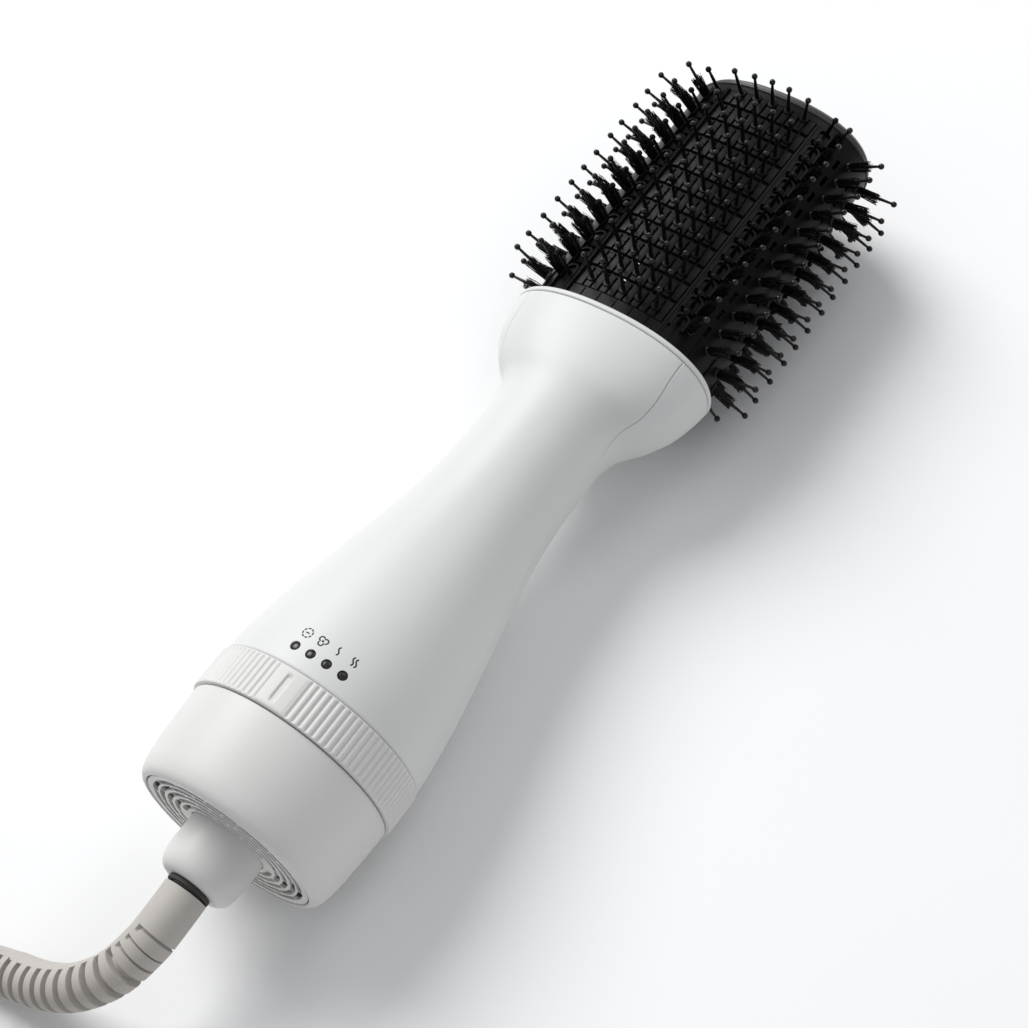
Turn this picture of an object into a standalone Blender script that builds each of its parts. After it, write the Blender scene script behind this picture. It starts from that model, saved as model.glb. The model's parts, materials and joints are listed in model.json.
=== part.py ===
"""Hot air brush: a hair dryer handle with a vented oval brush head, lying on its back.

The brush is modelled upright in its own frame (Z along the handle towards the tip, front at -Y,
base at Z = 0) and laid on the surface by one empty, brush_axis. The lead is modelled where it lies.
"""
import math

import bmesh
import bpy
from mathutils import Matrix, Vector

GAP = 0.0003

# Handle: heights along the axis and radii
CAP_TOP = 0.0330
DIAL_LOW = 0.0334
DIAL_HIGH = 0.0486
DIAL_R = 0.0402
RIB_COUNT = 100
RIB_DEPTH = 0.0005
DIAL_BORE_R = 0.0362
CARRIER_R = 0.0358
SHELL_TOP = 0.2225
RIM = 0.2250
WALL = 0.0020
# Height, half width and half depth of the shells
SHELL_STATIONS = (
    (0.0490, 0.0394, 0.0394), (0.0600, 0.0387, 0.0387), (0.0800, 0.0359, 0.0359),
    (0.1050, 0.0312, 0.0312), (0.1300, 0.0263, 0.0263), (0.1500, 0.0238, 0.0238),
    (0.1700, 0.0230, 0.0230), (0.1840, 0.0233, 0.0228),
    (0.1920, 0.0264, 0.0232), (0.1990, 0.0330, 0.0242), (0.2070, 0.0379, 0.0252),
    (0.2160, 0.0405, 0.0262), (SHELL_TOP, 0.0414, 0.0268),
)
RIM_A = 0.0415
RIM_B = 0.0269
COLLAR_POWER = 2.2
SEAM_START = 0.1770
SEAM_RISE = 0.0178

# Dial positions and their lights
SETTINGS = ("off", "cool", "low", "high")
SETTING_STEP = math.radians(9.3)
SETTINGS_MIDDLE = math.radians(7)
REST_SETTING = 1
LIGHT_HEIGHT = 0.0558
LIGHT_R = 0.0017

# Cord boss, swivel and strain relief
BOSS_R = 0.0142
BOSS_END = -0.0185
SWIVEL_END = -0.0203
SWIVEL_R = 0.0079
BOSS_SCREW_R = 0.0185
CORD_R = 0.0035

# Fan and heater
MOTOR_R = 0.0150
MOTOR_LOW = 0.0200
MOTOR_HIGH = 0.0560
SHAFT_R = 0.0015
SHIELD_R = 0.0196
HEATER_LOW = 0.1300
HEATER_HIGH = 0.2100
HEATER_HALF_WIDTH = 0.0163
HEATER_COIL_R = 0.0179

# Head
BARREL_LOW = 0.2180
BARREL_HIGH = 0.3385
BARREL_A = 0.0372
BARREL_B = 0.0240
BARREL_POWER = 2.3
TIP = 0.3480
PIN_FIRST = 0.2350
PIN_PITCH = 0.0088
PIN_COUNT = 12
LAST_PIN = PIN_FIRST + PIN_PITCH * (PIN_COUNT - 1)
ROW_LOW = PIN_FIRST - 0.0045
ROW_HIGH = LAST_PIN + 0.0045
ROW_WIDTH = 0.0034
# Name, position round the section in degrees from the right side, and pin length
ROWS = (
    ("right_rear_corner", 46, 0.0160), ("right_rear", 24, 0.0168), ("right_side", 0, 0.0168),
    ("right_front", -24, 0.0168), ("right_front_corner", -46, 0.0160),
    ("left_rear_corner", 134, 0.0160), ("left_rear", 156, 0.0168), ("left_side", 180, 0.0168),
    ("left_front", 204, 0.0168), ("left_front_corner", 226, 0.0160),
)
PANEL_HALF_WIDTH = 0.0185
PANEL_LOW = 0.2305
PANEL_HIGH = 0.3360
FACE_PIN_X = (-0.0134, -0.0067, 0.0, 0.0067, 0.0134)
FACE_VENT_X = (-0.01005, -0.00335, 0.00335, 0.01005)
FACE_PIN_LENGTH = 0.0130

# Resting attitude: the dial ring and the rear face's pins touch the surface
PIN_REACH = BARREL_B + FACE_PIN_LENGTH
LAY_TILT = math.atan2(DIAL_R - PIN_REACH, LAST_PIN - DIAL_HIGH)
LAY_HEIGHT = DIAL_R * math.cos(LAY_TILT) + DIAL_HIGH * math.sin(LAY_TILT) + 0.0001
LAY_BACK = -(TIP + SWIVEL_END) / 2 * math.cos(LAY_TILT)

# Lead, where it lies
RELIEF_ROUTE = (
    (0.0000, -0.1848, 0.0410), (0.0000, -0.1943, 0.0405), (-0.0012, -0.2042, 0.0385),
    (-0.0066, -0.2163, 0.0330), (-0.0170, -0.2253, 0.0258), (-0.0305, -0.2300, 0.0178),
    (-0.0450, -0.2322, 0.0112), (-0.0562, -0.2338, 0.0087), (-0.0650, -0.2364, 0.0082),
)
CORD_ROUTE = (
    (-0.0653, -0.2365, 0.0082), (-0.0775, -0.2405, 0.0068), (-0.0915, -0.2478, 0.0045),
    (-0.1045, -0.2594, 0.0037), (-0.1160, -0.2736, 0.0036),
)
COIL_CENTRE = Vector((-0.0725, -0.3107, 0.0))
COIL_MEAN_R = 0.0420
COIL_LANE = 0.0072
COIL_HEIGHT = 0.0144
TAIL_ARC_R = 0.0490
TAIL_ARC_START = math.radians(172)
TAIL_ARC_END = math.radians(285)
TAIL_ROUTE = (
    (-0.0457, -0.3544, 0.0182), (-0.0331, -0.3505, 0.0175), (-0.0205, -0.3445, 0.0140),
    (-0.0095, -0.3365, 0.0112), (-0.0012, -0.3283, 0.0103),
)
PLUG_HEADING = math.radians(46)
PLUG_LENGTH = 0.0430

SMALL = 1e-6


# Scene and materials

def clear_scene():
    for obj in list(bpy.data.objects):
        bpy.data.objects.remove(obj, do_unlink=True)


def new_collection(name):
    collection = bpy.data.collections.new(name)
    bpy.context.scene.collection.children.link(collection)
    return collection


def new_material(name, colour, roughness, metallic=0.0):
    mat = bpy.data.materials.new(name)
    mat.use_nodes = True
    shader = mat.node_tree.nodes["Principled BSDF"]
    shader.inputs["Base Color"].default_value = (*colour, 1.0)
    shader.inputs["Roughness"].default_value = roughness
    shader.inputs["Metallic"].default_value = metallic
    mat.diffuse_color = (*colour, 1.0)
    return mat


clear_scene()
PARTS = new_collection("hot_air_brush")
CUTTERS = new_collection("cutters")

WHITE = new_material("white_shell", (0.80, 0.80, 0.79), 0.42)
WARM_WHITE = new_material("warm_white_base", (0.78, 0.77, 0.74), 0.45)
PALE_RUBBER = new_material("pale_rubber", (0.52, 0.49, 0.46), 0.60)
DARK_RUBBER = new_material("dark_rubber", (0.05, 0.045, 0.04), 0.70)
BLACK = new_material("black_plastic", (0.012, 0.012, 0.013), 0.30)
BLACK_PIN = new_material("black_nylon", (0.010, 0.010, 0.011), 0.35)
SMOKED = new_material("smoked_lens", (0.03, 0.03, 0.03), 0.20)
STEEL = new_material("steel", (0.55, 0.55, 0.56), 0.35, 1.0)
BRASS = new_material("brass", (0.70, 0.52, 0.25), 0.35, 1.0)
MICA = new_material("mica", (0.62, 0.55, 0.42), 0.55)
BOARD = new_material("circuit_board", (0.04, 0.22, 0.10), 0.50)
GREY = new_material("grey_plastic", (0.30, 0.30, 0.31), 0.50)

BRUSH_AXIS = bpy.data.objects.new("brush_axis", None)
PARTS.objects.link(BRUSH_AXIS)
BRUSH_AXIS.location = (0.0, LAY_BACK, LAY_HEIGHT)
BRUSH_AXIS.rotation_euler = (-(math.pi / 2 + LAY_TILT), 0.0, 0.0)


# Making objects

def place(obj, mat, parent=BRUSH_AXIS, smooth_angle=35):
    """Links a finished object as a part of the brush."""
    PARTS.objects.link(obj)
    obj.parent = parent
    if mat:
        obj.data.materials.append(mat)
    if obj.type == "MESH":
        obj.data.shade_smooth()
        obj.data.set_sharp_from_angle(angle=math.radians(smooth_angle))
    return obj


def cutter(obj, parent=BRUSH_AXIS):
    """Links an object that only cuts or joins others."""
    CUTTERS.objects.link(obj)
    obj.parent = parent
    obj.hide_render = True
    obj.display_type = "WIRE"
    return obj


def mesh_object(name, bm):
    mesh = bpy.data.meshes.new(name)
    bm.to_mesh(mesh)
    bm.free()
    return bpy.data.objects.new(name, mesh)


def boolean(obj, tool, operation="DIFFERENCE"):
    modifier = obj.modifiers.new(operation.lower(), "BOOLEAN")
    modifier.operation = operation
    modifier.object = tool
    modifier.solver = "EXACT"
    return obj


def turned(name, profile, steps=32, closed=True):
    """A profile of (radius, height) points turned about Z; it runs down its outer side."""
    bm = bmesh.new()
    verts = [bm.verts.new((r, 0.0, z)) for r, z in profile]
    for a, b in zip(verts, verts[1:]):
        bm.edges.new((a, b))
    if closed:
        bm.edges.new((verts[-1], verts[0]))
    obj = mesh_object(name, bm)
    screw = obj.modifiers.new("turn", "SCREW")
    screw.angle = 2 * math.pi
    screw.steps = steps
    screw.render_steps = steps
    screw.use_merge_vertices = True
    screw.merge_threshold = 1e-5
    screw.use_smooth_shade = True
    return obj


def tube_ring(name, outer, inner, low, high, steps=32):
    return turned(name, ((outer, high), (outer, low), (inner, low), (inner, high)), steps)


def rod(name, radius, low, high, steps=16):
    return turned(name, ((0, high), (radius, high), (radius, low), (0, low)), steps, closed=False)


def boxes(name, items):
    """One mesh of separate boxes, each given as its size and its matrix."""
    bm = bmesh.new()
    for size, matrix in items:
        bmesh.ops.create_cube(bm, size=1.0, matrix=matrix @ Matrix.Diagonal((*size, 1.0)))
    return mesh_object(name, bm)


def box(name, size, centre, bevel=0.0):
    obj = boxes(name, [(size, Matrix.Translation(centre))])
    if bevel:
        modifier = obj.modifiers.new("edges", "BEVEL")
        modifier.width = bevel
        modifier.segments = 2
    return obj


def cylinders(name, items, segments=12):
    """One mesh of separate cylinders, each given as its radius, its depth and its matrix."""
    bm = bmesh.new()
    for radius, depth, matrix in items:
        bmesh.ops.create_cone(bm, cap_ends=True, segments=segments, radius1=radius,
                              radius2=radius, depth=depth, matrix=matrix)
    return mesh_object(name, bm)


def oval(a, b, power, count=32):
    """Points of a superellipse, anticlockwise from +X."""
    points = []
    for i in range(count):
        angle = 2 * math.pi * i / count
        c, s = math.cos(angle), math.sin(angle)
        points.append((a * math.copysign(abs(c) ** (2 / power), c),
                       b * math.copysign(abs(s) ** (2 / power), s)))
    return points


def lofted(name, stations, capped=False):
    """A skin over rings of points, each given with its height, from the bottom up."""
    bm = bmesh.new()
    rings = [[bm.verts.new((x, y, z)) for x, y in ring] for z, ring in stations]
    for low, high in zip(rings, rings[1:]):
        for i in range(len(low)):
            j = (i + 1) % len(low)
            bm.faces.new((low[i], low[j], high[j], high[i]))
    if capped:
        bm.faces.new(list(reversed(rings[0])))
        bm.faces.new(rings[-1])
    return mesh_object(name, bm)


def thickened(obj, thickness):
    modifier = obj.modifiers.new("wall", "SOLIDIFY")
    modifier.thickness = thickness
    modifier.offset = -1.0
    modifier.use_even_offset = True
    return obj


def flat_solid(name, outline, depth, matrix):
    """A flat outline with half of its depth on each side, turned by a matrix."""
    curve = bpy.data.curves.new(name, "CURVE")
    curve.dimensions = "2D"
    curve.fill_mode = "BOTH"
    curve.extrude = depth / 2
    spline = curve.splines.new("POLY")
    spline.points.add(len(outline) - 1)
    for point, (x, y) in zip(spline.points, outline):
        point.co = (x, y, 0.0, 1.0)
    spline.use_cyclic_u = True
    return frozen(bpy.data.objects.new(name, curve), name, matrix)


def frozen(obj, name, matrix=None):
    """The evaluated mesh of an object, as a plain closed mesh; the object is removed."""
    bpy.context.scene.collection.objects.link(obj)
    bpy.context.view_layer.update()
    evaluated = obj.evaluated_get(bpy.context.evaluated_depsgraph_get())
    mesh = bpy.data.meshes.new_from_object(evaluated)
    bpy.data.objects.remove(obj, do_unlink=True)
    bm = bmesh.new()
    bm.from_mesh(mesh)
    bmesh.ops.remove_doubles(bm, verts=bm.verts, dist=SMALL)
    bmesh.ops.recalc_face_normals(bm, faces=bm.faces)
    if matrix:
        bm.transform(matrix)
    bm.to_mesh(mesh)
    bm.free()
    mesh.name = name
    return bpy.data.objects.new(name, mesh)


def smooth_points(route, spacing):
    """Points at an even spacing along a Catmull-Rom curve through the route."""
    route = [Vector(p) for p in route]
    padded = [2 * route[0] - route[1], *route, 2 * route[-1] - route[-2]]
    fine = []
    for a, b, c, d in zip(padded, padded[1:], padded[2:], padded[3:]):
        for i in range(20):
            t = i / 20
            fine.append(0.5 * (2 * b + (c - a) * t + (2 * a - 5 * b + 4 * c - d) * t * t
                               + (3 * b - a - 3 * c + d) * t ** 3))
    fine.append(route[-1])
    lengths = [0.0]
    for a, b in zip(fine, fine[1:]):
        lengths.append(lengths[-1] + (b - a).length)
    count = max(2, round(lengths[-1] / spacing))
    points, k = [], 0
    for i in range(count + 1):
        want = lengths[-1] * i / count
        while k < len(fine) - 2 and lengths[k + 1] < want:
            k += 1
        share = (want - lengths[k]) / max(lengths[k + 1] - lengths[k], SMALL)
        points.append(fine[k].lerp(fine[k + 1], min(1.0, share)))
    return points


def cable(name, points, radius, resolution=2, end_taper=1.0):
    """A round cable along points; its radius may shrink evenly over the last three points."""
    curve = bpy.data.curves.new(name, "CURVE")
    curve.dimensions = "3D"
    curve.bevel_depth = radius
    curve.bevel_resolution = resolution
    curve.use_fill_caps = True
    spline = curve.splines.new("POLY")
    spline.points.add(len(points) - 1)
    for i, (point, co) in enumerate(zip(spline.points, points)):
        point.co = (*co, 1.0)
        from_end = len(points) - 1 - i
        point.radius = 1.0 - (1.0 - end_taper) * max(0, 3 - from_end) / 3
    return bpy.data.objects.new(name, curve)


def around(angle, radius, height):
    """A place on the front side of the handle: the angle runs from the front to the right."""
    return Matrix.Rotation(angle, 4, "Z") @ Matrix.Translation((0.0, -radius, height))


def setting_angle(index):
    return SETTINGS_MIDDLE + (index - (len(SETTINGS) - 1) / 2) * SETTING_STEP


# Handle

def seam_depth(height):
    """Where the front and rear shells meet: the mid-plane, rising to the collar's front corners."""
    share = min(1.0, max(0.0, (height - SEAM_START) / (RIM - SEAM_START)))
    return -SEAM_RISE * math.sin(share * math.pi / 2) ** 1.15


def front_region(name, shift):
    heights = [0.040, *(SEAM_START + (RIM + 0.004 - SEAM_START) * i / 10 for i in range(11))]
    seam = [(seam_depth(z) + shift, z) for z in heights]
    outline = [(-0.06, heights[0]), *seam, (-0.06, heights[-1])]
    upright = Matrix(((0, 0, 1, 0), (1, 0, 0, 0), (0, 1, 0, 0), (0, 0, 0, 1)))
    return cutter(flat_solid(name, outline, 0.12, upright))


def shell_skin(name):
    stations = []
    for z, a, b in SHELL_STATIONS:
        share = min(1.0, max(0.0, (z - SEAM_START) / (RIM - SEAM_START)))
        stations.append((z, oval(a, b, 2 + (COLLAR_POWER - 2) * share, 32)))
    return thickened(lofted(name, stations), WALL)


def make_shells():
    front = boolean(shell_skin("front_shell"), front_region("front_region", -GAP / 2), "INTERSECT")
    holes = cylinders("light_holes", [
        (LIGHT_R + GAP, 0.006, around(setting_angle(i), 0.0385, LIGHT_HEIGHT)
         @ Matrix.Rotation(math.pi / 2, 4, "X")) for i in range(len(SETTINGS))])
    boolean(front, cutter(holes))
    place(front, WHITE)
    rear = boolean(shell_skin("rear_shell"), front_region("rear_region", GAP / 2))
    place(rear, WHITE)


def make_collar_ring():
    ring = lofted("collar_ring", [(z, oval(RIM_A - inset, RIM_B - inset, COLLAR_POWER))
                                  for z, inset in ((SHELL_TOP + GAP, 0.0), (RIM - 0.0006, 0.0),
                                                   (RIM, 0.0006))], capped=True)
    bore = lofted("collar_bore", [(z, oval(BARREL_A + GAP, BARREL_B + GAP, BARREL_POWER))
                                  for z in (SHELL_TOP - 0.01, RIM + 0.01)], capped=True)
    place(boolean(ring, cutter(bore)), WHITE)


def make_base():
    place(turned("base_cap", (
        (0.0390, CAP_TOP), (0.0387, 0.0250), (0.0380, 0.0130), (0.0372, 0.0060), (0.0362, 0.0025),
        (0.0348, 0.0008), (0.0330, 0.0), (0.0325, 0.0), (0.0325, 0.0020), (0.0352, 0.0020),
        (0.0362, 0.0130), (0.0368, CAP_TOP)), 36), WARM_WHITE)
    grille = turned("inlet_grille", (
        (0.0345, 0.0046), (0.0345, 0.0023), (0.0322, 0.0023), (0.0322, 0.0003),
        (BOSS_R + GAP, 0.0003), (BOSS_R + GAP, 0.0024), (0.0318, 0.0024), (0.0318, 0.0046)), 36)
    slots = []
    for radius in (0.0240, 0.0292):
        for i in range(8):
            length = radius * math.radians(28)
            slots.append(((length, 0.0028, 0.0060),
                          around(math.radians(45 * (i + 0.5)), radius, 0.0015)))
    boolean(grille, cutter(boxes("grille_slots", slots)))
    boolean(grille, cutter(screw_holes("grille_screw_holes")))
    place(grille, WARM_WHITE)
    place(tube_ring("inlet_filter", 0.0312, 0.0225, 0.0052, 0.0058, 32), DARK_RUBBER)


def screw_holes(name):
    return cylinders(name, [(0.0014, 0.012, Matrix.Translation((side * BOSS_SCREW_R, 0, 0.002)))
                            for side in (-1, 1)], 10)


def make_boss():
    boss = turned("cord_boss", (
        (0.0212, 0.0045), (0.0212, 0.0027), (BOSS_R, 0.0027), (BOSS_R, -0.0090), (0.0140, -0.0130),
        (0.0132, -0.0160), (0.0118, -0.0178), (0.0098, BOSS_END), (0.0062, BOSS_END),
        (0.0062, -0.0160), (0.0086, -0.0160), (0.0086, 0.0045)), 24)
    place(boolean(boss, cutter(screw_holes("boss_screw_holes"))), WARM_WHITE)
    for name, side in (("boss_screw_left", -1), ("boss_screw_right", 1)):
        screw = turned(name, ((0, 0.0066), (0.0018, 0.0066), (0.0022, 0.0062), (0.0022, 0.0048),
                              (0.0011, 0.0048), (0.0011, 0.0004), (0, 0.0004)), 12, closed=False)
        screw.location.x = side * BOSS_SCREW_R
        place(screw, STEEL)
    place(turned("swivel_spindle", (
        (0.0083, -0.0118), (0.0083, -0.0157), (0.0058, -0.0157), (0.0058, SWIVEL_END),
        (0.0020, SWIVEL_END), (0.0020, -0.0118)), 24), GREY)
    place(tube_ring("swivel_seal", SWIVEL_R, 0.0061, SWIVEL_END, BOSS_END - GAP, 24), DARK_RUBBER)


def ribbed_ring(name):
    """The dial's ring, with fine ribs for the fingers all round it."""
    edge = 0.0005
    profile = ((DIAL_BORE_R, DIAL_HIGH, 0.0), (DIAL_BORE_R, DIAL_LOW, 0.0),
               (DIAL_R - RIB_DEPTH, DIAL_LOW, 0.0), (DIAL_R, DIAL_LOW + edge, RIB_DEPTH),
               (DIAL_R, DIAL_HIGH - edge, RIB_DEPTH), (DIAL_R - RIB_DEPTH, DIAL_HIGH, 0.0))
    steps = 2 * RIB_COUNT
    bm = bmesh.new()
    rings = []
    for radius, height, depth in profile:
        ring = []
        for i in range(steps):
            angle = 2 * math.pi * i / steps
            r = radius - depth * (i % 2)
            ring.append(bm.verts.new((r * math.cos(angle), r * math.sin(angle), height)))
        rings.append(ring)
    for low, high in zip(rings, rings[1:] + rings[:1]):
        for i in range(steps):
            j = (i + 1) % steps
            bm.faces.new((low[i], low[j], high[j], high[i]))
    bmesh.ops.recalc_face_normals(bm, faces=bm.faces)
    return mesh_object(name, bm)


def make_dial():
    ring = ribbed_ring("dial_ring")
    rest = setting_angle(REST_SETTING)
    pad = boxes("dial_pad", [((0.0108, 0.0024, 0.0140),
                              around(rest, DIAL_R - 0.0006, (DIAL_LOW + DIAL_HIGH) / 2))])
    place(boolean(ring, cutter(pad), "UNION"), WARM_WHITE)
    peg = boxes("switch_peg", [((0.0044, 0.0044, 0.0046), around(rest, 0.0337, 0.0411))])
    place(peg, GREY)
    carrier = tube_ring("dial_carrier", CARRIER_R, 0.0341, 0.0310, 0.0516, 40)
    windows = boxes("carrier_windows", [
        ((0.0260, 0.0120, 0.0070), around(SETTINGS_MIDDLE, 0.0330, 0.0411)),
        ((0.0140, 0.0120, 0.0050), Matrix.Translation((0, 0.0345, 0.0411)))])
    place(boolean(carrier, cutter(windows)), GREY)
    spring = flat_solid("detent_spring", (
        (-0.0062, 0.0312), (-0.0030, 0.0325), (0.0, 0.0357), (0.0030, 0.0325), (0.0062, 0.0312),
        (0.0062, 0.0306), (0.0027, 0.0320), (0.0, 0.0350), (-0.0027, 0.0320), (-0.0062, 0.0306)),
        0.0040, Matrix.Translation((0, 0, 0.0411)))
    place(spring, STEEL)


def make_switch():
    board = box("switch_board", (0.0260, 0.0016, 0.0230), (0, -0.0243, 0.0465))
    switch = box("switch_body", (0.0160, 0.0035, 0.0090), (0, -0.0271, 0.0411), 0.0003)
    for part, mat in ((board, BOARD), (switch, GREY)):
        part.rotation_euler.z = SETTINGS_MIDDLE
        place(part, mat)
    for i, setting in enumerate(SETTINGS):
        lens = cylinders("light_" + setting, [(LIGHT_R, 0.0026, Matrix.Rotation(
            math.pi / 2, 4, "X"))], 16)
        lens.matrix_local = around(setting_angle(i), 0.0376, LIGHT_HEIGHT)
        place(lens, SMOKED)
    leads = smooth_points(((0, 0, -0.0100), (0, -0.0015, 0.0040), (0.0030, -0.0140, 0.0110),
                           (0.0060, -0.0215, 0.0220), (0.0060, -0.0243, 0.0346)), 0.0045)
    place(cable("supply_leads", leads, 0.0012), GREY)


# Fan and heater

def make_fan():
    bore = SHAFT_R + 0.0001
    place(turned("motor_can", (
        (MOTOR_R - 0.001, MOTOR_HIGH), (MOTOR_R, MOTOR_HIGH - 0.001), (MOTOR_R, MOTOR_LOW + 0.001),
        (MOTOR_R - 0.001, MOTOR_LOW), (bore, MOTOR_LOW), (bore, MOTOR_HIGH)), 32), STEEL)
    place(tube_ring("lower_bush", 0.0045, bore, MOTOR_LOW - 0.0023, MOTOR_LOW - GAP, 20), BRASS)
    place(tube_ring("upper_bush", 0.0045, bore, MOTOR_HIGH + GAP, MOTOR_HIGH + 0.0023, 20), BRASS)
    bracket = tube_ring("motor_bracket", 0.0175, MOTOR_R + GAP, 0.0470, 0.0510, 32)
    arms = boxes("bracket_arms", [((0.0050, 0.0166, 0.0040), around(angle, 0.0253, 0.0490))
                                  for angle in map(math.radians, (60, 180, 300))])
    place(boolean(bracket, cutter(arms), "UNION"), GREY)
    place(rod("motor_shaft", SHAFT_R, 0.0160, 0.0790, 20), STEEL)
    hub = turned("impeller", ((0.0080, 0.0760), (0.0095, 0.0735), (0.0095, 0.0612),
                              (SHAFT_R + GAP, 0.0612), (SHAFT_R + GAP, 0.0760)), 24)
    blades = [((0.0010, 0.0210, 0.0150), around(2 * math.pi * i / 7, 0.0192, 0.0682)
               @ Matrix.Rotation(math.radians(38), 4, "Y")) for i in range(7)]
    place(boolean(hub, cutter(boxes("impeller_blades", blades)), "UNION"), GREY)
    place(turned("fan_duct", (
        (SHIELD_R + 0.0012, 0.1240), (0.0240, 0.1120), (0.0285, 0.0980), (0.0326, 0.0800),
        (0.0332, 0.0600), (0.0320, 0.0600), (0.0314, 0.0796), (0.0274, 0.0974), (0.0229, 0.1113),
        (SHIELD_R, 0.1240)), 28), GREY)


def make_heater():
    place(tube_ring("heat_shield", SHIELD_R, SHIELD_R - 0.0009, 0.1244, 0.2230, 28), MICA)
    length = HEATER_HIGH - HEATER_LOW
    middle = (HEATER_HIGH + HEATER_LOW) / 2
    width = 2 * HEATER_HALF_WIDTH
    for name, size, slot_side in (("heater_plate_a", (width, 0.0008, length), 1),
                                  ("heater_plate_b", (0.0008, width, length), -1)):
        plate = box(name, size, (0, 0, middle))
        slot = box(name + "_slot", (0.0014, 0.0014, length / 2 + 0.004),
                   (0, 0, middle + slot_side * (length / 4 + 0.0019)))
        place(boolean(plate, cutter(slot)), MICA)
    turns, per_turn, wire = 6, 10, 0.0004
    pitch = (length - 0.012) / turns
    coil = []
    for i in range(turns * per_turn + 1):
        angle = 2 * math.pi * i / per_turn
        coil.append((HEATER_COIL_R * math.cos(angle), HEATER_COIL_R * math.sin(angle),
                     HEATER_LOW + 0.006 + pitch * i / per_turn))
    place(cable("heater_coil", coil, wire, 1), STEEL)
    thermostat = cylinders("thermostat", [(0.0045, 0.0035, Matrix.Translation(
        (0.0085, 0.0026, 0.1960)) @ Matrix.Rotation(math.pi / 2, 4, "X"))], 20)
    place(thermostat, STEEL)
    fuse = cylinders("thermal_fuse", [(0.0015, 0.0100, Matrix.Translation(
        (-0.0085, 0.0024, 0.1500)))], 12)
    place(fuse, STEEL)


# Head

def section_point(degrees):
    """A point of the barrel's section and its outward normal."""
    angle = math.radians(degrees)
    c, s = math.cos(angle), math.sin(angle)
    u = math.copysign(abs(c) ** (2 / BARREL_POWER), c)
    v = math.copysign(abs(s) ** (2 / BARREL_POWER), s)
    normal = Vector((math.copysign(abs(u) ** (BARREL_POWER - 1), u) / BARREL_A,
                     math.copysign(abs(v) ** (BARREL_POWER - 1), v) / BARREL_B, 0.0))
    return Vector((BARREL_A * u, BARREL_B * v, 0.0)), normal.normalized()


def face_depth(x):
    """Depth of the barrel's flat face at a distance from the middle."""
    return BARREL_B * (1 - abs(x / BARREL_A) ** BARREL_POWER) ** (1 / BARREL_POWER)


def row_matrix(degrees):
    point, normal = section_point(degrees)
    return Matrix.Translation(point) @ Matrix.Rotation(math.atan2(normal.y, normal.x), 4, "Z")


def add_pin(bm, matrix, length, sides, profile):
    """A turned pin along +X of a matrix, from (distance, radius) points."""
    rings = []
    for along, radius in profile:
        rings.append([bm.verts.new(matrix @ Vector((
            along * length, radius * math.cos(2 * math.pi * i / sides),
            radius * math.sin(2 * math.pi * i / sides)))) for i in range(sides)])
    for low, high in zip(rings, rings[1:]):
        for i in range(sides):
            j = (i + 1) % sides
            bm.faces.new((low[i], low[j], high[j], high[i]))
    bm.faces.new(list(reversed(rings[0])))
    bm.faces.new(rings[-1])


LONG_PIN = ((-0.10, 0.0011), (0.90, 0.0009), (1.0, 0.0012))
FACE_PIN = ((-0.25, 0.0011), (1.0, 0.0008))


def row_mesh(length):
    """A row's bar and its pins as one mesh, with the barrel's surface at x = 0."""
    height = ROW_HIGH - ROW_LOW
    bar = box("row_bar", (0.0022, ROW_WIDTH, height), (-0.0009, 0, (ROW_LOW + ROW_HIGH) / 2))
    bm = bmesh.new()
    for i in range(PIN_COUNT):
        add_pin(bm, Matrix.Translation((0, 0, PIN_FIRST + i * PIN_PITCH)), length, 4, LONG_PIN)
    pins = mesh_object("row_pins", bm)
    bpy.context.scene.collection.objects.link(pins)
    boolean(bar, pins, "UNION")
    row = frozen(bar, "bristle_row_mesh")
    bpy.data.objects.remove(pins, do_unlink=True)
    mesh = row.data
    bpy.data.objects.remove(row, do_unlink=True)
    return mesh


def make_rows():
    meshes = {}
    for name, degrees, length in ROWS:
        if length not in meshes:
            meshes[length] = row_mesh(length)
            meshes[length].materials.append(BLACK_PIN)
        row = bpy.data.objects.new("bristle_row_" + name, meshes[length])
        row.matrix_local = row_matrix(degrees)
        place(row, None)


def make_barrel():
    barrel = thickened(lofted("barrel", [(z, oval(BARREL_A, BARREL_B, BARREL_POWER, 48))
                                         for z in (BARREL_LOW, BARREL_HIGH)]), WALL)
    height = ROW_HIGH - ROW_LOW + 2 * GAP
    middle = (ROW_LOW + ROW_HIGH) / 2
    cuts = [((0.0080, ROW_WIDTH + 2 * GAP, height), row_matrix(degrees)
             @ Matrix.Translation((0, 0, middle))) for _, degrees, _ in ROWS]
    panel = (2 * (PANEL_HALF_WIDTH + GAP), 0.0120, PANEL_HIGH - PANEL_LOW + 2 * GAP)
    cuts += [(panel, Matrix.Translation((0, side * 0.0240, (PANEL_LOW + PANEL_HIGH) / 2)))
             for side in (-1, 1)]
    place(boolean(barrel, cutter(boxes("barrel_cuts", cuts))), BLACK)


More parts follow.
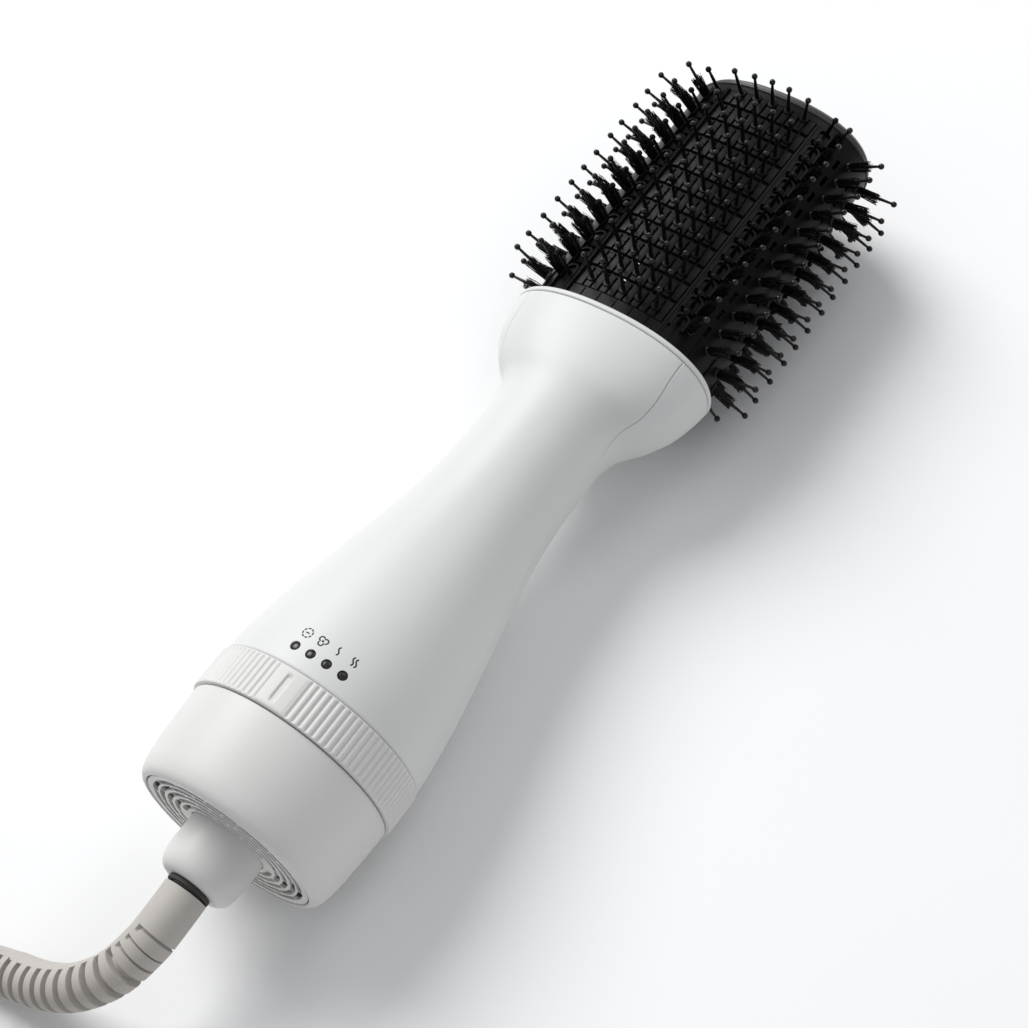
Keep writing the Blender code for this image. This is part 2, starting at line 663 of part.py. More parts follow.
def make_face_panel(name, side):
    """One flat face of the barrel with its vents and short pins; side is -1 at the front."""
    xs = [PANEL_HALF_WIDTH * (i / 4 - 1) for i in range(9)]
    if side < 0:
        order = xs
    else:
        order = list(reversed(xs))
    bm = bmesh.new()
    low = [bm.verts.new((x, side * face_depth(x), PANEL_LOW)) for x in order]
    high = [bm.verts.new((x, side * face_depth(x), PANEL_HIGH)) for x in order]
    for i in range(len(xs) - 1):
        bm.faces.new((low[i], low[i + 1], high[i + 1], high[i]))
    panel = thickened(mesh_object(name, bm), WALL)
    vents = [((0.0030, 0.0120, 0.0060), Matrix.Translation(
        (x, side * 0.0230, PIN_FIRST + (i + 0.5) * PIN_PITCH)))
        for x in FACE_VENT_X for i in range(PIN_COUNT - 1)]
    boolean(panel, cutter(boxes(name + "_vents", vents)))
    bm = bmesh.new()
    outward = Matrix.Rotation(side * math.pi / 2, 4, "Z")
    for x in FACE_PIN_X:
        for i in range(PIN_COUNT):
            add_pin(bm, Matrix.Translation((x, side * face_depth(x), PIN_FIRST + i * PIN_PITCH))
                    @ outward, FACE_PIN_LENGTH, 4, FACE_PIN)
    boolean(panel, cutter(mesh_object(name + "_pins", bm)), "UNION")
    place(panel, BLACK)


def make_head_ends():
    rim = lofted("end_rim", [(z, oval(BARREL_A + 0.0004, BARREL_B + 0.0004, BARREL_POWER))
                             for z in (BARREL_HIGH + GAP, BARREL_HIGH + 0.0018)], capped=True)
    bore = lofted("end_rim_bore", [(z, oval(BARREL_A - 0.0022, BARREL_B - 0.0022, BARREL_POWER))
                                   for z in (BARREL_HIGH - 0.01, BARREL_HIGH + 0.01)], capped=True)
    place(boolean(rim, cutter(bore)), GREY)
    inset_at = ((-0.0050, 0.0026), (0.0021, 0.0026), (0.0021, 0.0002), (0.0045, 0.0006),
                (0.0068, 0.0022), (0.0086, 0.0050), (TIP - BARREL_HIGH, 0.0090))
    place(lofted("end_cap", [(BARREL_HIGH + up, oval(BARREL_A - inset, BARREL_B - inset,
                                                     BARREL_POWER))
                             for up, inset in inset_at], capped=True), BLACK)
    inside = WALL + GAP
    clamp = lofted("barrel_clamp", [(z, oval(BARREL_A - inside, BARREL_B - inside, BARREL_POWER))
                                    for z in (0.2190, 0.2225)], capped=True)
    bore = lofted("clamp_bore", [(z, oval(SHIELD_R + GAP, SHIELD_R + GAP, 2))
                                 for z in (0.2100, 0.2300)], capped=True)
    place(boolean(clamp, cutter(bore)), GREY)


# Lead

def make_lead():
    relief = smooth_points(RELIEF_ROUTE, 0.0060)
    place(cable("strain_relief", relief, SWIVEL_R, 3, 0.75), PALE_RUBBER, None)
    place(cable("power_cord", smooth_points(CORD_ROUTE, 0.0080), CORD_R), PALE_RUBBER, None)
    half = COIL_LANE + CORD_R
    coil = tube_ring("cord_coil", COIL_MEAN_R + half, COIL_MEAN_R - half, 0.0001, COIL_HEIGHT, 40)
    coil.location = COIL_CENTRE
    place(coil, PALE_RUBBER, None)
    count = 9
    arc = []
    for i in range(count + 1):
        angle = TAIL_ARC_START + (TAIL_ARC_END - TAIL_ARC_START) * i / count
        arc.append(COIL_CENTRE + Vector((TAIL_ARC_R * math.cos(angle),
                                         TAIL_ARC_R * math.sin(angle),
                                         COIL_HEIGHT + GAP + CORD_R)))
    tail = smooth_points([*arc, *TAIL_ROUTE], 0.0080)
    place(cable("cord_tail", tail, CORD_R), PALE_RUBBER, None)


def make_plug():
    """A two-blade plug modelled along +X from the cord's end."""
    pose = Matrix.Translation(TAIL_ROUTE[-1]) @ Matrix.Rotation(PLUG_HEADING, 4, "Z")
    stand = Matrix(((0, 0, 1, 0), (1, 0, 0, 0), (0, 1, 0, 0), (0, 0, 0, 1)))
    body = lofted("plug_body", [(z, oval(a, b, power, 20)) for z, a, b, power in (
        (GAP, 0.0050, 0.0050, 2), (0.0100, 0.0060, 0.0058, 2), (0.0160, 0.0100, 0.0084, 2.5),
        (0.0240, 0.0135, 0.0098, 3.5), (PLUG_LENGTH - 0.0015, 0.0140, 0.0100, 4),
        (PLUG_LENGTH, 0.0128, 0.0088, 4))], capped=True)
    body.matrix_local = pose @ stand
    place(body, PALE_RUBBER, None)
    for name, side in (("plug_blade_left", 1), ("plug_blade_right", -1)):
        blade = box(name, (0.0170, 0.0015, 0.0062), (PLUG_LENGTH + GAP + 0.0085, side * 0.0063, 0))
        blade.matrix_local = pose
        place(blade, BRASS, None)


make_shells()
make_collar_ring()
make_base()
make_boss()
make_dial()
make_switch()
make_fan()
make_heater()
make_rows()
make_barrel()
make_face_panel("front_face_panel", -1)
make_face_panel("rear_face_panel", 1)
make_head_ends()
make_lead()
make_plug()
bpy.context.view_layer.update()
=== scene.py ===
"""The looks of the hot air brush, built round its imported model.

Pieces of the brush are modelled upright in its own frame (Z along the handle towards the tip,
front at -Y, base at Z = 0) and laid down by BRUSH. The lead is modelled where it lies.
"""
import json
import math
import random

import bmesh
import bpy
from mathutils import Matrix, Vector


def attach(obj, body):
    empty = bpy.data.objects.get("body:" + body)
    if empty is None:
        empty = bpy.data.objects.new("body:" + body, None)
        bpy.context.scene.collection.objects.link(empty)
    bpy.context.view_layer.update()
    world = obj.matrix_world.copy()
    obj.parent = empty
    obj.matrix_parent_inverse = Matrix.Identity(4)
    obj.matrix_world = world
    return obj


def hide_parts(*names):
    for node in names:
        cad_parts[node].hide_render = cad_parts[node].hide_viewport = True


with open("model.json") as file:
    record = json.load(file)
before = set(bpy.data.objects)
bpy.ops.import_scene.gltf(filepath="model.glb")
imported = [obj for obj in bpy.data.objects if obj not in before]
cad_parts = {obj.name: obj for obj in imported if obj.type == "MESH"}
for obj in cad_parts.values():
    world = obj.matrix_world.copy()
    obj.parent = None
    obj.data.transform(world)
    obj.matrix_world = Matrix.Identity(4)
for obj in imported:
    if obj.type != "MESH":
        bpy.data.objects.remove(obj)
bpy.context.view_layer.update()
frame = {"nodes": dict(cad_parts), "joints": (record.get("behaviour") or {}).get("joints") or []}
NODES = frame["nodes"]
JOINTS = {joint["name"]: joint for joint in frame["joints"]}

# The brush's own frame, from the axis that the dial turns on
AXIS = Vector(JOINTS["dial_turn"]["axis"]).normalized()
AXIS_POINT = Vector(JOINTS["dial_turn"]["pos_m"])
ACROSS = Vector((1.0, 0.0, 0.0))
BRUSH = Matrix.Translation(AXIS_POINT) @ Matrix(
    (ACROSS, AXIS.cross(ACROSS), AXIS)).transposed().to_4x4()

# Handle, in metres from the base
CAP_TOP = 0.0330
SHELL_TOP = 0.2225
RIM = 0.2250
WALL = 0.0020
SHELL_STATIONS = (
    (0.0490, 0.0394, 0.0394), (0.0600, 0.0387, 0.0387), (0.0800, 0.0359, 0.0359),
    (0.1050, 0.0312, 0.0312), (0.1300, 0.0263, 0.0263), (0.1500, 0.0238, 0.0238),
    (0.1700, 0.0230, 0.0230), (0.1840, 0.0233, 0.0228),
    (0.1920, 0.0264, 0.0232), (0.1990, 0.0330, 0.0242), (0.2070, 0.0379, 0.0252),
    (0.2160, 0.0405, 0.0262), (SHELL_TOP, 0.0414, 0.0268),
)
SHELL_SIDES = 72
RIM_A = 0.0415
RIM_B = 0.0269
COLLAR_POWER = 2.2
SEAM_START = 0.1770
SEAM_RISE = 0.0178
SEAM_FADE = 0.006
SEAM_SHUT = 0.00003
SEAM_OPEN = 0.00026

# Settings
SETTINGS = ("off", "cool", "low", "high")
SETTING_STEP = math.radians(9.3)
SETTINGS_MIDDLE = math.radians(7)
REST_SETTING = 1
LIGHT_HEIGHT = 0.0558
LIGHT_R = 0.0017
ICON_HEIGHT = 0.0617
ICON_LINE = 0.00052
ICON_LIFT = 0.00002

# Dial
DIAL_LOW = 0.0334
DIAL_HIGH = 0.0486
DIAL_R = 0.0402
DIAL_BORE_R = 0.0362
DIAL_EDGE = 0.0009
RIB_COUNT = 100
RIB_DEPTH = 0.0006
RIB_SINK = 0.00012
PAD_ANGLE = math.radians(15.4)
PAD_BLEND = 0.008
BAR_HALF = 0.0042
BAR_R = 0.00125
BAR_DEPTH = 0.0006
BAR_SLOPE = 0.00035

# Base and swivel
BOSS_R = 0.0142
BOSS_END = -0.0185
SWIVEL_END = -0.0203
SWIVEL_R = 0.0079
GRILLE_R = 0.0322
GRILLE_THICK = 0.0013
SLOT_FIRST_R = 0.0170
SLOT_PITCH = 0.0031
SLOT_HALF = 0.00100
SLOTS_IN_ROW = (10, 10, 14, 14, 14)
SLOT_WEB = 0.0011
SCREW_R = 0.0185

# Head
BARREL_LOW = 0.2180
BARREL_HIGH = 0.3385
BARREL_A = 0.0372
BARREL_B = 0.0240
BARREL_POWER = 2.3
BARREL_WALL = 0.0016
TIP = 0.3480
PANEL_HALF_WIDTH = 0.0185
PANEL_LOW = 0.2305
PANEL_HIGH = 0.3360
PANEL_SINK = 0.0009
PANEL_UNDERSIDE = 0.0021
RAIL_LOW = BARREL_LOW + 0.0072
RAIL_SINK = 0.0004
RAIL_HALF = 0.0002
RAIL_X = (0.0192, 0.0200, 0.0268)
BAND_ANGLES = (12, 35, 58, 122, 145, 168, -12, -35, -58, -122, -145, -168)
SLOT_ANGLES = (12, 35, 145, 168, -12, -35, -145, -168)
SLOT_SIZE = (0.0060, 0.0016, 0.0046)
PANEL_VENT_SIZE = (0.0022, 0.0120, 0.0060)
COLUMN_VENT_X = 0.0232
COLUMN_VENT_SIZE = (0.0120, 0.0052, 0.0020)
ARCH_X = 0.0230
ARCH_WIDTH = 0.0052
ARCH_HEIGHT = 0.0062
ARCH_THICK = 0.0012
ARCH_RISE = 0.0013
TILE_WIDTH = 0.0028
TILE_GAP = 0.00065
TILE_BOW = 0.0011

# Pins and tufts
PIN_FIRST = 0.2350
PIN_PITCH = 0.0088
PIN_COUNT = 12
PIN_HEIGHTS = [PIN_FIRST + i * PIN_PITCH for i in range(PIN_COUNT)]
VENT_HEIGHTS = [PIN_FIRST + (i + 0.5) * PIN_PITCH for i in range(PIN_COUNT - 1)]
FACE_PIN_X = (-0.0134, -0.0067, 0.0, 0.0067, 0.0134)
FACE_PIN_HEIGHTS = [*PIN_HEIGHTS[:-1], PIN_HEIGHTS[-1] + 0.0030]
FACE_PIN_LENGTH = 0.0128
BALL_R = 0.00118
ROW_FOOT = ((-0.0005, 0.0019), (0.0004, 0.0019), (0.0008, 0.0016), (0.0009, 0.0010))
FACE_FOOT = ((-0.0006, 0.0020), (0.0004, 0.0020), (0.0008, 0.0017), (0.00085, 0.0012))
TUFT_HAIRS = 92
TUFT_SHARE = 0.58
ROWS = (
    ("right_rear_corner", 46, 0.0160), ("right_rear", 24, 0.0168), ("right_side", 0, 0.0168),
    ("right_front", -24, 0.0168), ("right_front_corner", -46, 0.0160),
    ("left_rear_corner", 134, 0.0160), ("left_rear", 156, 0.0168), ("left_side", 180, 0.0168),
    ("left_front", 204, 0.0168), ("left_front_corner", 226, 0.0160),
)

# Lead, as it lies
CORD_R = 0.0035
CORD_STEP = 0.0045
RELIEF_ROUTE = (
    (0.0000, -0.1848, 0.0410), (0.0000, -0.1943, 0.0405), (-0.0012, -0.2042, 0.0385),
    (-0.0066, -0.2163, 0.0330), (-0.0170, -0.2253, 0.0258), (-0.0305, -0.2300, 0.0178),
    (-0.0450, -0.2322, 0.0112), (-0.0562, -0.2338, 0.0087), (-0.0650, -0.2364, 0.0082),
)
CORD_ROUTE = (
    (-0.0653, -0.2365, 0.0082), (-0.0775, -0.2405, 0.0068), (-0.0915, -0.2478, 0.0045),
    (-0.1045, -0.2594, 0.0037), (-0.1160, -0.2736, 0.0036),
)
COIL_CENTRE = Vector((-0.0725, -0.3107, 0.0))
COIL_MEAN_R = 0.0420
COIL_LANE = 0.0072
LAYER_LOW = 0.0036
LAYER_HIGH = 0.0107
LAYER_TOP = 0.0182
TURN_STEPS = 20
SHIFT_STEPS = 5
TAIL_STEPS = 7
TAIL_ARC_END = math.radians(285)
TAIL_ROUTE = (
    (-0.0457, -0.3544, 0.0182), (-0.0331, -0.3505, 0.0175), (-0.0205, -0.3445, 0.0140),
    (-0.0095, -0.3365, 0.0112), (-0.0012, -0.3283, 0.0103),
)
PLUG_HEADING = math.radians(46)
PLUG_LENGTH = 0.0430
TIE_ANGLE = math.radians(120)
TIE_WIDTH = 0.0034
TIE_THICK = 0.0005

# Strain relief: a smooth sleeve, short slits, then open ribs on a spine
RELIEF_STEP = 0.0003
RELIEF_SIDES = 64
RELIEF_CORE = CORD_R + 0.0016
RELIEF_SPINE = Vector((-0.45, 0.75, 0.35))
SLEEVE_LENGTH = 0.0158
SLIT_PITCH = 0.0040
SLIT_COUNT = 3
SLIT_WIDTH = 0.0005
SLIT_END_WIDTH = 0.0017
SLIT_DEPTH = 0.0014
RIB_PITCH = 0.0058
RIB_GAP = 0.0023
PLAIN_END = 0.003

# Camera, placed round the brush's axis
CAMERA_DISTANCE = 0.700
CAMERA_HEIGHT = -0.1376
CAMERA_ROUND = math.radians(26.5)
CAMERA_YAW = 0.011
CAMERA_PITCH = 0.391
CAMERA_ROLL = 0.665
CAMERA_LENS = 76.38


# Making meshes

def mesh_object(name, bm, matrix=BRUSH, smooth_angle=35):
    """A piece from a bmesh, laid in place by a matrix."""
    mesh = bpy.data.meshes.new(name)
    bm.to_mesh(mesh)
    bm.free()
    mesh.transform(matrix)
    shade(mesh, smooth_angle)
    obj = bpy.data.objects.new(name, mesh)
    bpy.context.scene.collection.objects.link(obj)
    return obj


def closed_piece(name, bm, matrix=BRUSH, smooth_angle=35):
    """The same, with its faces turned outwards first."""
    bmesh.ops.recalc_face_normals(bm, faces=bm.faces)
    return mesh_object(name, bm, matrix, smooth_angle)


def shade(mesh, smooth_angle=35):
    mesh.shade_smooth()
    mesh.set_sharp_from_angle(angle=math.radians(smooth_angle))


def evaluated_mesh(obj):
    """A new mesh from a piece as its modifiers or its curve make it."""
    bpy.context.view_layer.update()
    return bpy.data.meshes.new_from_object(
        obj.evaluated_get(bpy.context.evaluated_depsgraph_get()))


def cut(obj, tool):
    """Takes the tool away from the piece, and then removes the tool."""
    modifier = obj.modifiers.new("cut", "BOOLEAN")
    modifier.operation = "DIFFERENCE"
    modifier.object = tool
    modifier.solver = "EXACT"
    mesh = evaluated_mesh(obj)
    obj.modifiers.clear()
    obj.data = mesh
    shade(mesh)
    bpy.data.objects.remove(tool, do_unlink=True)


def finish_piece(obj, mat, body, slot, *replaced):
    obj.data.materials.clear()
    obj.data.materials.append(mat)
    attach(obj, body)
    if replaced:
        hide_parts(*replaced)
    return obj


def clamp(value):
    return min(1.0, max(0.0, value))


def smoothstep(value):
    share = clamp(value)
    return share * share * (3 - 2 * share)


def lift(height):
    return Matrix.Translation((0, 0, height))


def oval_point(a, b, power, angle):
    """A point of a superellipse; power 2 is an ellipse."""
    c, s = math.cos(angle), math.sin(angle)
    return (a * math.copysign(abs(c) ** (2 / power), c),
            b * math.copysign(abs(s) ** (2 / power), s))


def oval(a, b, power, count):
    return [oval_point(a, b, power, 2 * math.pi * i / count) for i in range(count)]


def oval_ring(a, b, power, height, count):
    return [(x, y, height) for x, y in oval(a, b, power, count)]


def circle(radius, count):
    return oval(radius, radius, 2, count)


def arc(x, y, radius, start, end, count):
    """Points of an arc between two angles in radians."""
    angles = [start + (end - start) * i / count for i in range(count + 1)]
    return [(x + radius * math.cos(angle), y + radius * math.sin(angle)) for angle in angles]


def directions(line):
    """The unit direction of a flat line at each of its points; its two ends may meet."""
    last = len(line) - 1
    meets = math.dist(line[0], line[-1]) < 1e-6
    runs = []
    for i in range(len(line)):
        before = line[i - 1] if i > 0 else line[-2] if meets else line[0]
        after = line[i + 1] if i < last else line[1] if meets else line[last]
        runs.append((Vector(after) - Vector(before)).normalized())
    return runs


def add_loft(bm, rings, capped=True, closed=False):
    """Faces between rings of 3-D points; closed joins the last ring to the first."""
    made = [[bm.verts.new(p) for p in ring] for ring in rings]
    pairs = list(zip(made, made[1:]))
    if closed:
        pairs.append((made[-1], made[0]))
    for low, high in pairs:
        for i in range(len(low)):
            j = (i + 1) % len(low)
            bm.faces.new((low[i], low[j], high[j], high[i]))
    if capped and not closed:
        bm.faces.new(made[0][::-1])
        bm.faces.new(made[-1])
    return made


def add_box(bm, matrix, size):
    bmesh.ops.create_cube(bm, size=1.0, matrix=matrix @ Matrix.Diagonal((*size, 1.0)))


def turned(name, profile, steps, closed=True, matrix=BRUSH):
    """A profile of (radius, height) points turned about Z; it runs up its outer side."""
    bm = bmesh.new()
    rings = [[(x, y, height) for x, y in circle(radius, steps)] for radius, height in profile]
    add_loft(bm, rings, capped=not closed, closed=closed)
    return mesh_object(name, bm, matrix)


def rounded(corners, radius, steps=3):
    """The corners of a profile, each cut by a small arc."""
    points = []
    count = len(corners)
    for i in range(count):
        before, here, after = (Vector(corners[k % count]) for k in (i - 1, i, i + 1))
        reach = min(radius, (before - here).length * 0.45, (after - here).length * 0.45)
        start = here + (before - here).normalized() * reach
        end = here + (after - here).normalized() * reach
        for k in range(steps + 1):
            t = k / steps
            points.append(tuple((1 - t) ** 2 * start + 2 * t * (1 - t) * here + t * t * end))
    return points


def smooth_points(route, spacing):
    """Points at an even spacing along a Catmull-Rom curve through the route."""
    route = [Vector(p) for p in route]
    padded = [2 * route[0] - route[1], *route, 2 * route[-1] - route[-2]]
    fine = []
    for a, b, c, d in zip(padded, padded[1:], padded[2:], padded[3:]):
        for i in range(20):
            t = i / 20
            fine.append(0.5 * (2 * b + (c - a) * t + (2 * a - 5 * b + 4 * c - d) * t * t
                               + (3 * b - a - 3 * c + d) * t ** 3))
    fine.append(route[-1])
    lengths = [0.0]
    for a, b in zip(fine, fine[1:]):
        lengths.append(lengths[-1] + (b - a).length)
    count = max(2, round(lengths[-1] / spacing))
    points, k = [], 0
    for i in range(count + 1):
        want = lengths[-1] * i / count
        while k < len(fine) - 2 and lengths[k + 1] < want:
            k += 1
        share = (want - lengths[k]) / max(lengths[k + 1] - lengths[k], 1e-9)
        points.append(fine[k].lerp(fine[k + 1], min(1.0, share)))
    return points


# Materials

def new_material(name):
    mat = bpy.data.materials.new(name)
    mat.use_nodes = True
    return mat, mat.node_tree.nodes, mat.node_tree.links, mat.node_tree.nodes["Principled BSDF"]


def noise(nodes, links, scale, detail=3.0):
    """A noise texture in metres, from the piece's own coordinates."""
    coord = nodes.new("ShaderNodeTexCoord")
    texture = nodes.new("ShaderNodeTexNoise")
    texture.inputs["Scale"].default_value = scale
    texture.inputs["Detail"].default_value = detail
    links.new(coord.outputs["Object"], texture.inputs["Vector"])
    return texture.outputs["Fac"]


def ramp(nodes, links, source, low, high, target):
    """Two colours, or two values as greys, spread over a noise and led to an input."""
    made = nodes.new("ShaderNodeValToRGB")
    made.color_ramp.elements[0].position = 0.35
    made.color_ramp.elements[1].position = 0.65
    made.color_ramp.elements[0].color = (*low, 1.0)
    made.color_ramp.elements[1].color = (*high, 1.0)
    links.new(source, made.inputs["Fac"])
    links.new(made.outputs["Color"], target)


def add_bump(nodes, links, shader, height, strength, distance):
    bump = nodes.new("ShaderNodeBump")
    bump.inputs["Strength"].default_value = strength
    bump.inputs["Distance"].default_value = distance
    links.new(height, bump.inputs["Height"])
    links.new(bump.outputs["Normal"], shader.inputs["Normal"])


def plastic(name, colour, roughness, variation=0.03, grain=2600, grain_depth=0.00002,
            blotch=18, specular=0.45):
    """Moulded plastic: slightly uneven colour and gloss, and a fine spark-eroded grain."""
    mat, nodes, links, shader = new_material(name)
    blotches = noise(nodes, links, blotch)
    dark = tuple(c * (1 - variation) for c in colour)
    ramp(nodes, links, blotches, dark, colour, shader.inputs["Base Color"])
    fine = noise(nodes, links, grain, 2.0)
    ramp(nodes, links, blotches, (roughness - 0.04,) * 3, (roughness + 0.04,) * 3,
         shader.inputs["Roughness"])
    add_bump(nodes, links, shader, fine, 0.5, grain_depth)
    shader.inputs["Specular IOR Level"].default_value = specular
    return mat


def metal(name, colour, roughness):
    mat, nodes, links, shader = new_material(name)
    streaks = noise(nodes, links, 900, 4.0)
    dark = tuple(c * 0.86 for c in colour)
    ramp(nodes, links, streaks, dark, colour, shader.inputs["Base Color"])
    ramp(nodes, links, streaks, (roughness,) * 3, (roughness + 0.12,) * 3,
         shader.inputs["Roughness"])
    shader.inputs["Metallic"].default_value = 1.0
    add_bump(nodes, links, shader, streaks, 0.3, 0.00002)
    return mat


WHITE = plastic("satin_white_shell", (0.72, 0.725, 0.715), 0.47)
BASE_WHITE = plastic("satin_warm_white", (0.715, 0.71, 0.69), 0.46)
RELIEF_RUBBER = plastic("pinkish_grey_rubber", (0.50, 0.468, 0.435), 0.58, 0.05, 1800, 0.00003)
CORD_RUBBER = plastic("pinkish_grey_cord", (0.50, 0.468, 0.435), 0.50, 0.06, 1800, 0.00003)
DARK_RUBBER = plastic("dark_seal_rubber", (0.045, 0.040, 0.036), 0.62, 0.15)
BLACK = plastic("black_barrel_plastic", (0.0045, 0.0045, 0.005), 0.36, 0.20, 1500, 0.00002, 60,
                specular=0.13)
BLACK_PIN = plastic("black_pin_nylon", (0.006, 0.006, 0.0065), 0.30, 0.15, 2000, 0.00001, 90,
                    specular=0.4)
TUFT = plastic("black_bristle_fibre", (0.005, 0.005, 0.005), 0.45, 0.3, 3000, 0.00001, 200,
               specular=0.3)
END_TRIM = plastic("brownish_end_trim", (0.034, 0.031, 0.027), 0.40, 0.12)
LENS = plastic("smoked_light_lens", (0.022, 0.021, 0.020), 0.28, 0.35, 1500, 0.00002, 900)
PRINT = plastic("grey_print", (0.018, 0.018, 0.020), 0.55, 0.2)
GREY = plastic("grey_inner_plastic", (0.30, 0.30, 0.31), 0.50, 0.08)
MICA = plastic("mica_sheet", (0.62, 0.55, 0.42), 0.45, 0.25, 900, 0.00005, 120)
BOARD = plastic("green_board", (0.04, 0.22, 0.10), 0.45, 0.2)
STEEL = metal("plain_steel", (0.55, 0.55, 0.56), 0.30)
BRASS = metal("plain_brass", (0.70, 0.52, 0.25), 0.28)


# Camera, lights and floor

def make_camera():
    data = bpy.data.cameras.new("camera")
    data.sensor_width = 36.0
    data.lens = CAMERA_LENS
    data.clip_start = 0.05
    camera = bpy.data.objects.new("camera", data)
    bpy.context.scene.collection.objects.link(camera)
    ahead = Vector((math.sin(CAMERA_YAW) * math.cos(CAMERA_PITCH),
                    math.cos(CAMERA_YAW) * math.cos(CAMERA_PITCH), math.sin(CAMERA_PITCH)))
    right = ahead.cross(Vector((0, 0, 1))).normalized()
    up = right.cross(ahead)
    turn_right = math.cos(CAMERA_ROLL) * right + math.sin(CAMERA_ROLL) * up
    turn_up = -math.sin(CAMERA_ROLL) * right + math.cos(CAMERA_ROLL) * up
    pose = Matrix((turn_right, turn_up, -ahead)).transposed().to_4x4()
    pose.translation = Vector((0.0, -CAMERA_DISTANCE, CAMERA_HEIGHT))
    camera.matrix_world = BRUSH @ Matrix.Rotation(CAMERA_ROUND, 4, "Z") @ pose
    bpy.context.scene.camera = camera


def area_light(name, place, target, size, power):
    data = bpy.data.lights.new(name, "AREA")
    data.shape = "DISK"
    data.size = size
    data.energy = power
    light = bpy.data.objects.new(name, data)
    bpy.context.scene.collection.objects.link(light)
    light.location = place
    direction = Vector(target) - Vector(place)
    light.rotation_mode = "QUATERNION"
    light.rotation_quaternion = direction.to_track_quat("-Z", "Y")


def make_stage():
    bm = bmesh.new()
    bmesh.ops.create_grid(bm, x_segments=2, y_segments=2, size=6.0)
    floor = mesh_object("floor", bm, Matrix.Identity(4))
    mat, nodes, links, shader = new_material("pale_floor")
    ramp(nodes, links, noise(nodes, links, 4.0), (0.93, 0.93, 0.93), (0.95, 0.95, 0.95),
         shader.inputs["Base Color"])
    shader.inputs["Roughness"].default_value = 0.7
    floor.data.materials.append(mat)
    world = bpy.data.worlds.new("studio")
    bpy.context.scene.world = world
    world.use_nodes = True
    background = world.node_tree.nodes["Background"]
    background.inputs["Color"].default_value = (0.95, 0.97, 1.0, 1.0)
    background.inputs["Strength"].default_value = 0.43
    area_light("key", (-2.6, 1.1, 3.0), (0, 0, 0.04), 2.6, 140)
    area_light("fill", (0.9, 3.0, 3.2), (0, 0.1, 0.04), 1.6, 20)
    bpy.context.scene.view_settings.view_transform = "Standard"


# Lead

def coil_point(angle, radius, height):
    return COIL_CENTRE + Vector((radius * math.cos(angle), radius * math.sin(angle), height))


def coil_points():
    """The wound lead: two layers of three turns, and the tail's turn on top."""
    entry = Vector(CORD_ROUTE[-1]) - COIL_CENTRE
    start = math.atan2(entry.y, entry.x)
    lanes = (COIL_MEAN_R + COIL_LANE, COIL_MEAN_R, COIL_MEAN_R - COIL_LANE)
    turns = [(lane, LAYER_LOW) for lane in lanes] + [(lane, LAYER_HIGH) for lane in lanes[::-1]]
    turns.append((COIL_MEAN_R + COIL_LANE, LAYER_TOP))
    points = []
    for k, (here, after) in enumerate(zip(turns, turns[1:])):
        for i in range(TURN_STEPS):
            share = smoothstep((i - (TURN_STEPS - SHIFT_STEPS)) / SHIFT_STEPS)
            radius, height = (a + (b - a) * share for a, b in zip(here, after))
            points.append(coil_point(start + 2 * math.pi * (k + i / TURN_STEPS), radius, height))
    span = (TAIL_ARC_END - start) % (2 * math.pi)
    for i in range(TAIL_STEPS + 1):
        points.append(coil_point(start + span * i / TAIL_STEPS, *turns[-1]))
    return points


def make_cord():
    points = smooth_points([*CORD_ROUTE[:-1], *coil_points(), *TAIL_ROUTE], CORD_STEP)
    curve = bpy.data.curves.new("power_lead", "CURVE")
    curve.dimensions = "3D"
    curve.bevel_depth = CORD_R
    curve.bevel_resolution = 4
    curve.use_fill_caps = True
    spline = curve.splines.new("POLY")
    spline.points.add(len(points) - 1)
    for point, co in zip(spline.points, points):
        point.co = (*co, 1.0)
    lead = bpy.data.objects.new("power_lead", curve)
    bpy.context.scene.collection.objects.link(lead)
    return finish_piece(lead, CORD_RUBBER, "lead", "pale_rubber",
                        "power_cord", "cord_coil", "cord_tail")


def sweep_frames(points):
    """Along a line: each point with its direction and two directions across it."""
    frames = []
    across = Vector((0.0, 0.0, 1.0))
    for i, point in enumerate(points):
        ahead = (points[min(i + 1, len(points) - 1)] - points[max(i - 1, 0)]).normalized()
        across = (across - ahead * across.dot(ahead)).normalized()
        frames.append((point, across, ahead.cross(across)))
    return frames


def relief_radius(along, total, away):
    """Radius at a distance along the strain relief, away radians round from its spine."""
    taper = max(0.0, (along - 0.80 * total) / (0.20 * total))
    outer = SWIVEL_R * (1 - 0.22 * taper)
    past_sleeve = along - SLEEVE_LENGTH
    past_slits = past_sleeve - SLIT_COUNT * SLIT_PITCH
    if past_sleeve <= 0:
        return outer
    if past_slits < 0:
        across_slit = past_sleeve % SLIT_PITCH
        slit = across_slit < SLIT_WIDTH and away > 0.95
        slit_end = across_slit < SLIT_END_WIDTH and 0.95 < away < 1.08
        return outer - SLIT_DEPTH if slit or slit_end else outer
    if past_slits % RIB_PITCH < RIB_GAP and away > 0.75 and along < total - PLAIN_END:
        return RELIEF_CORE
    return outer


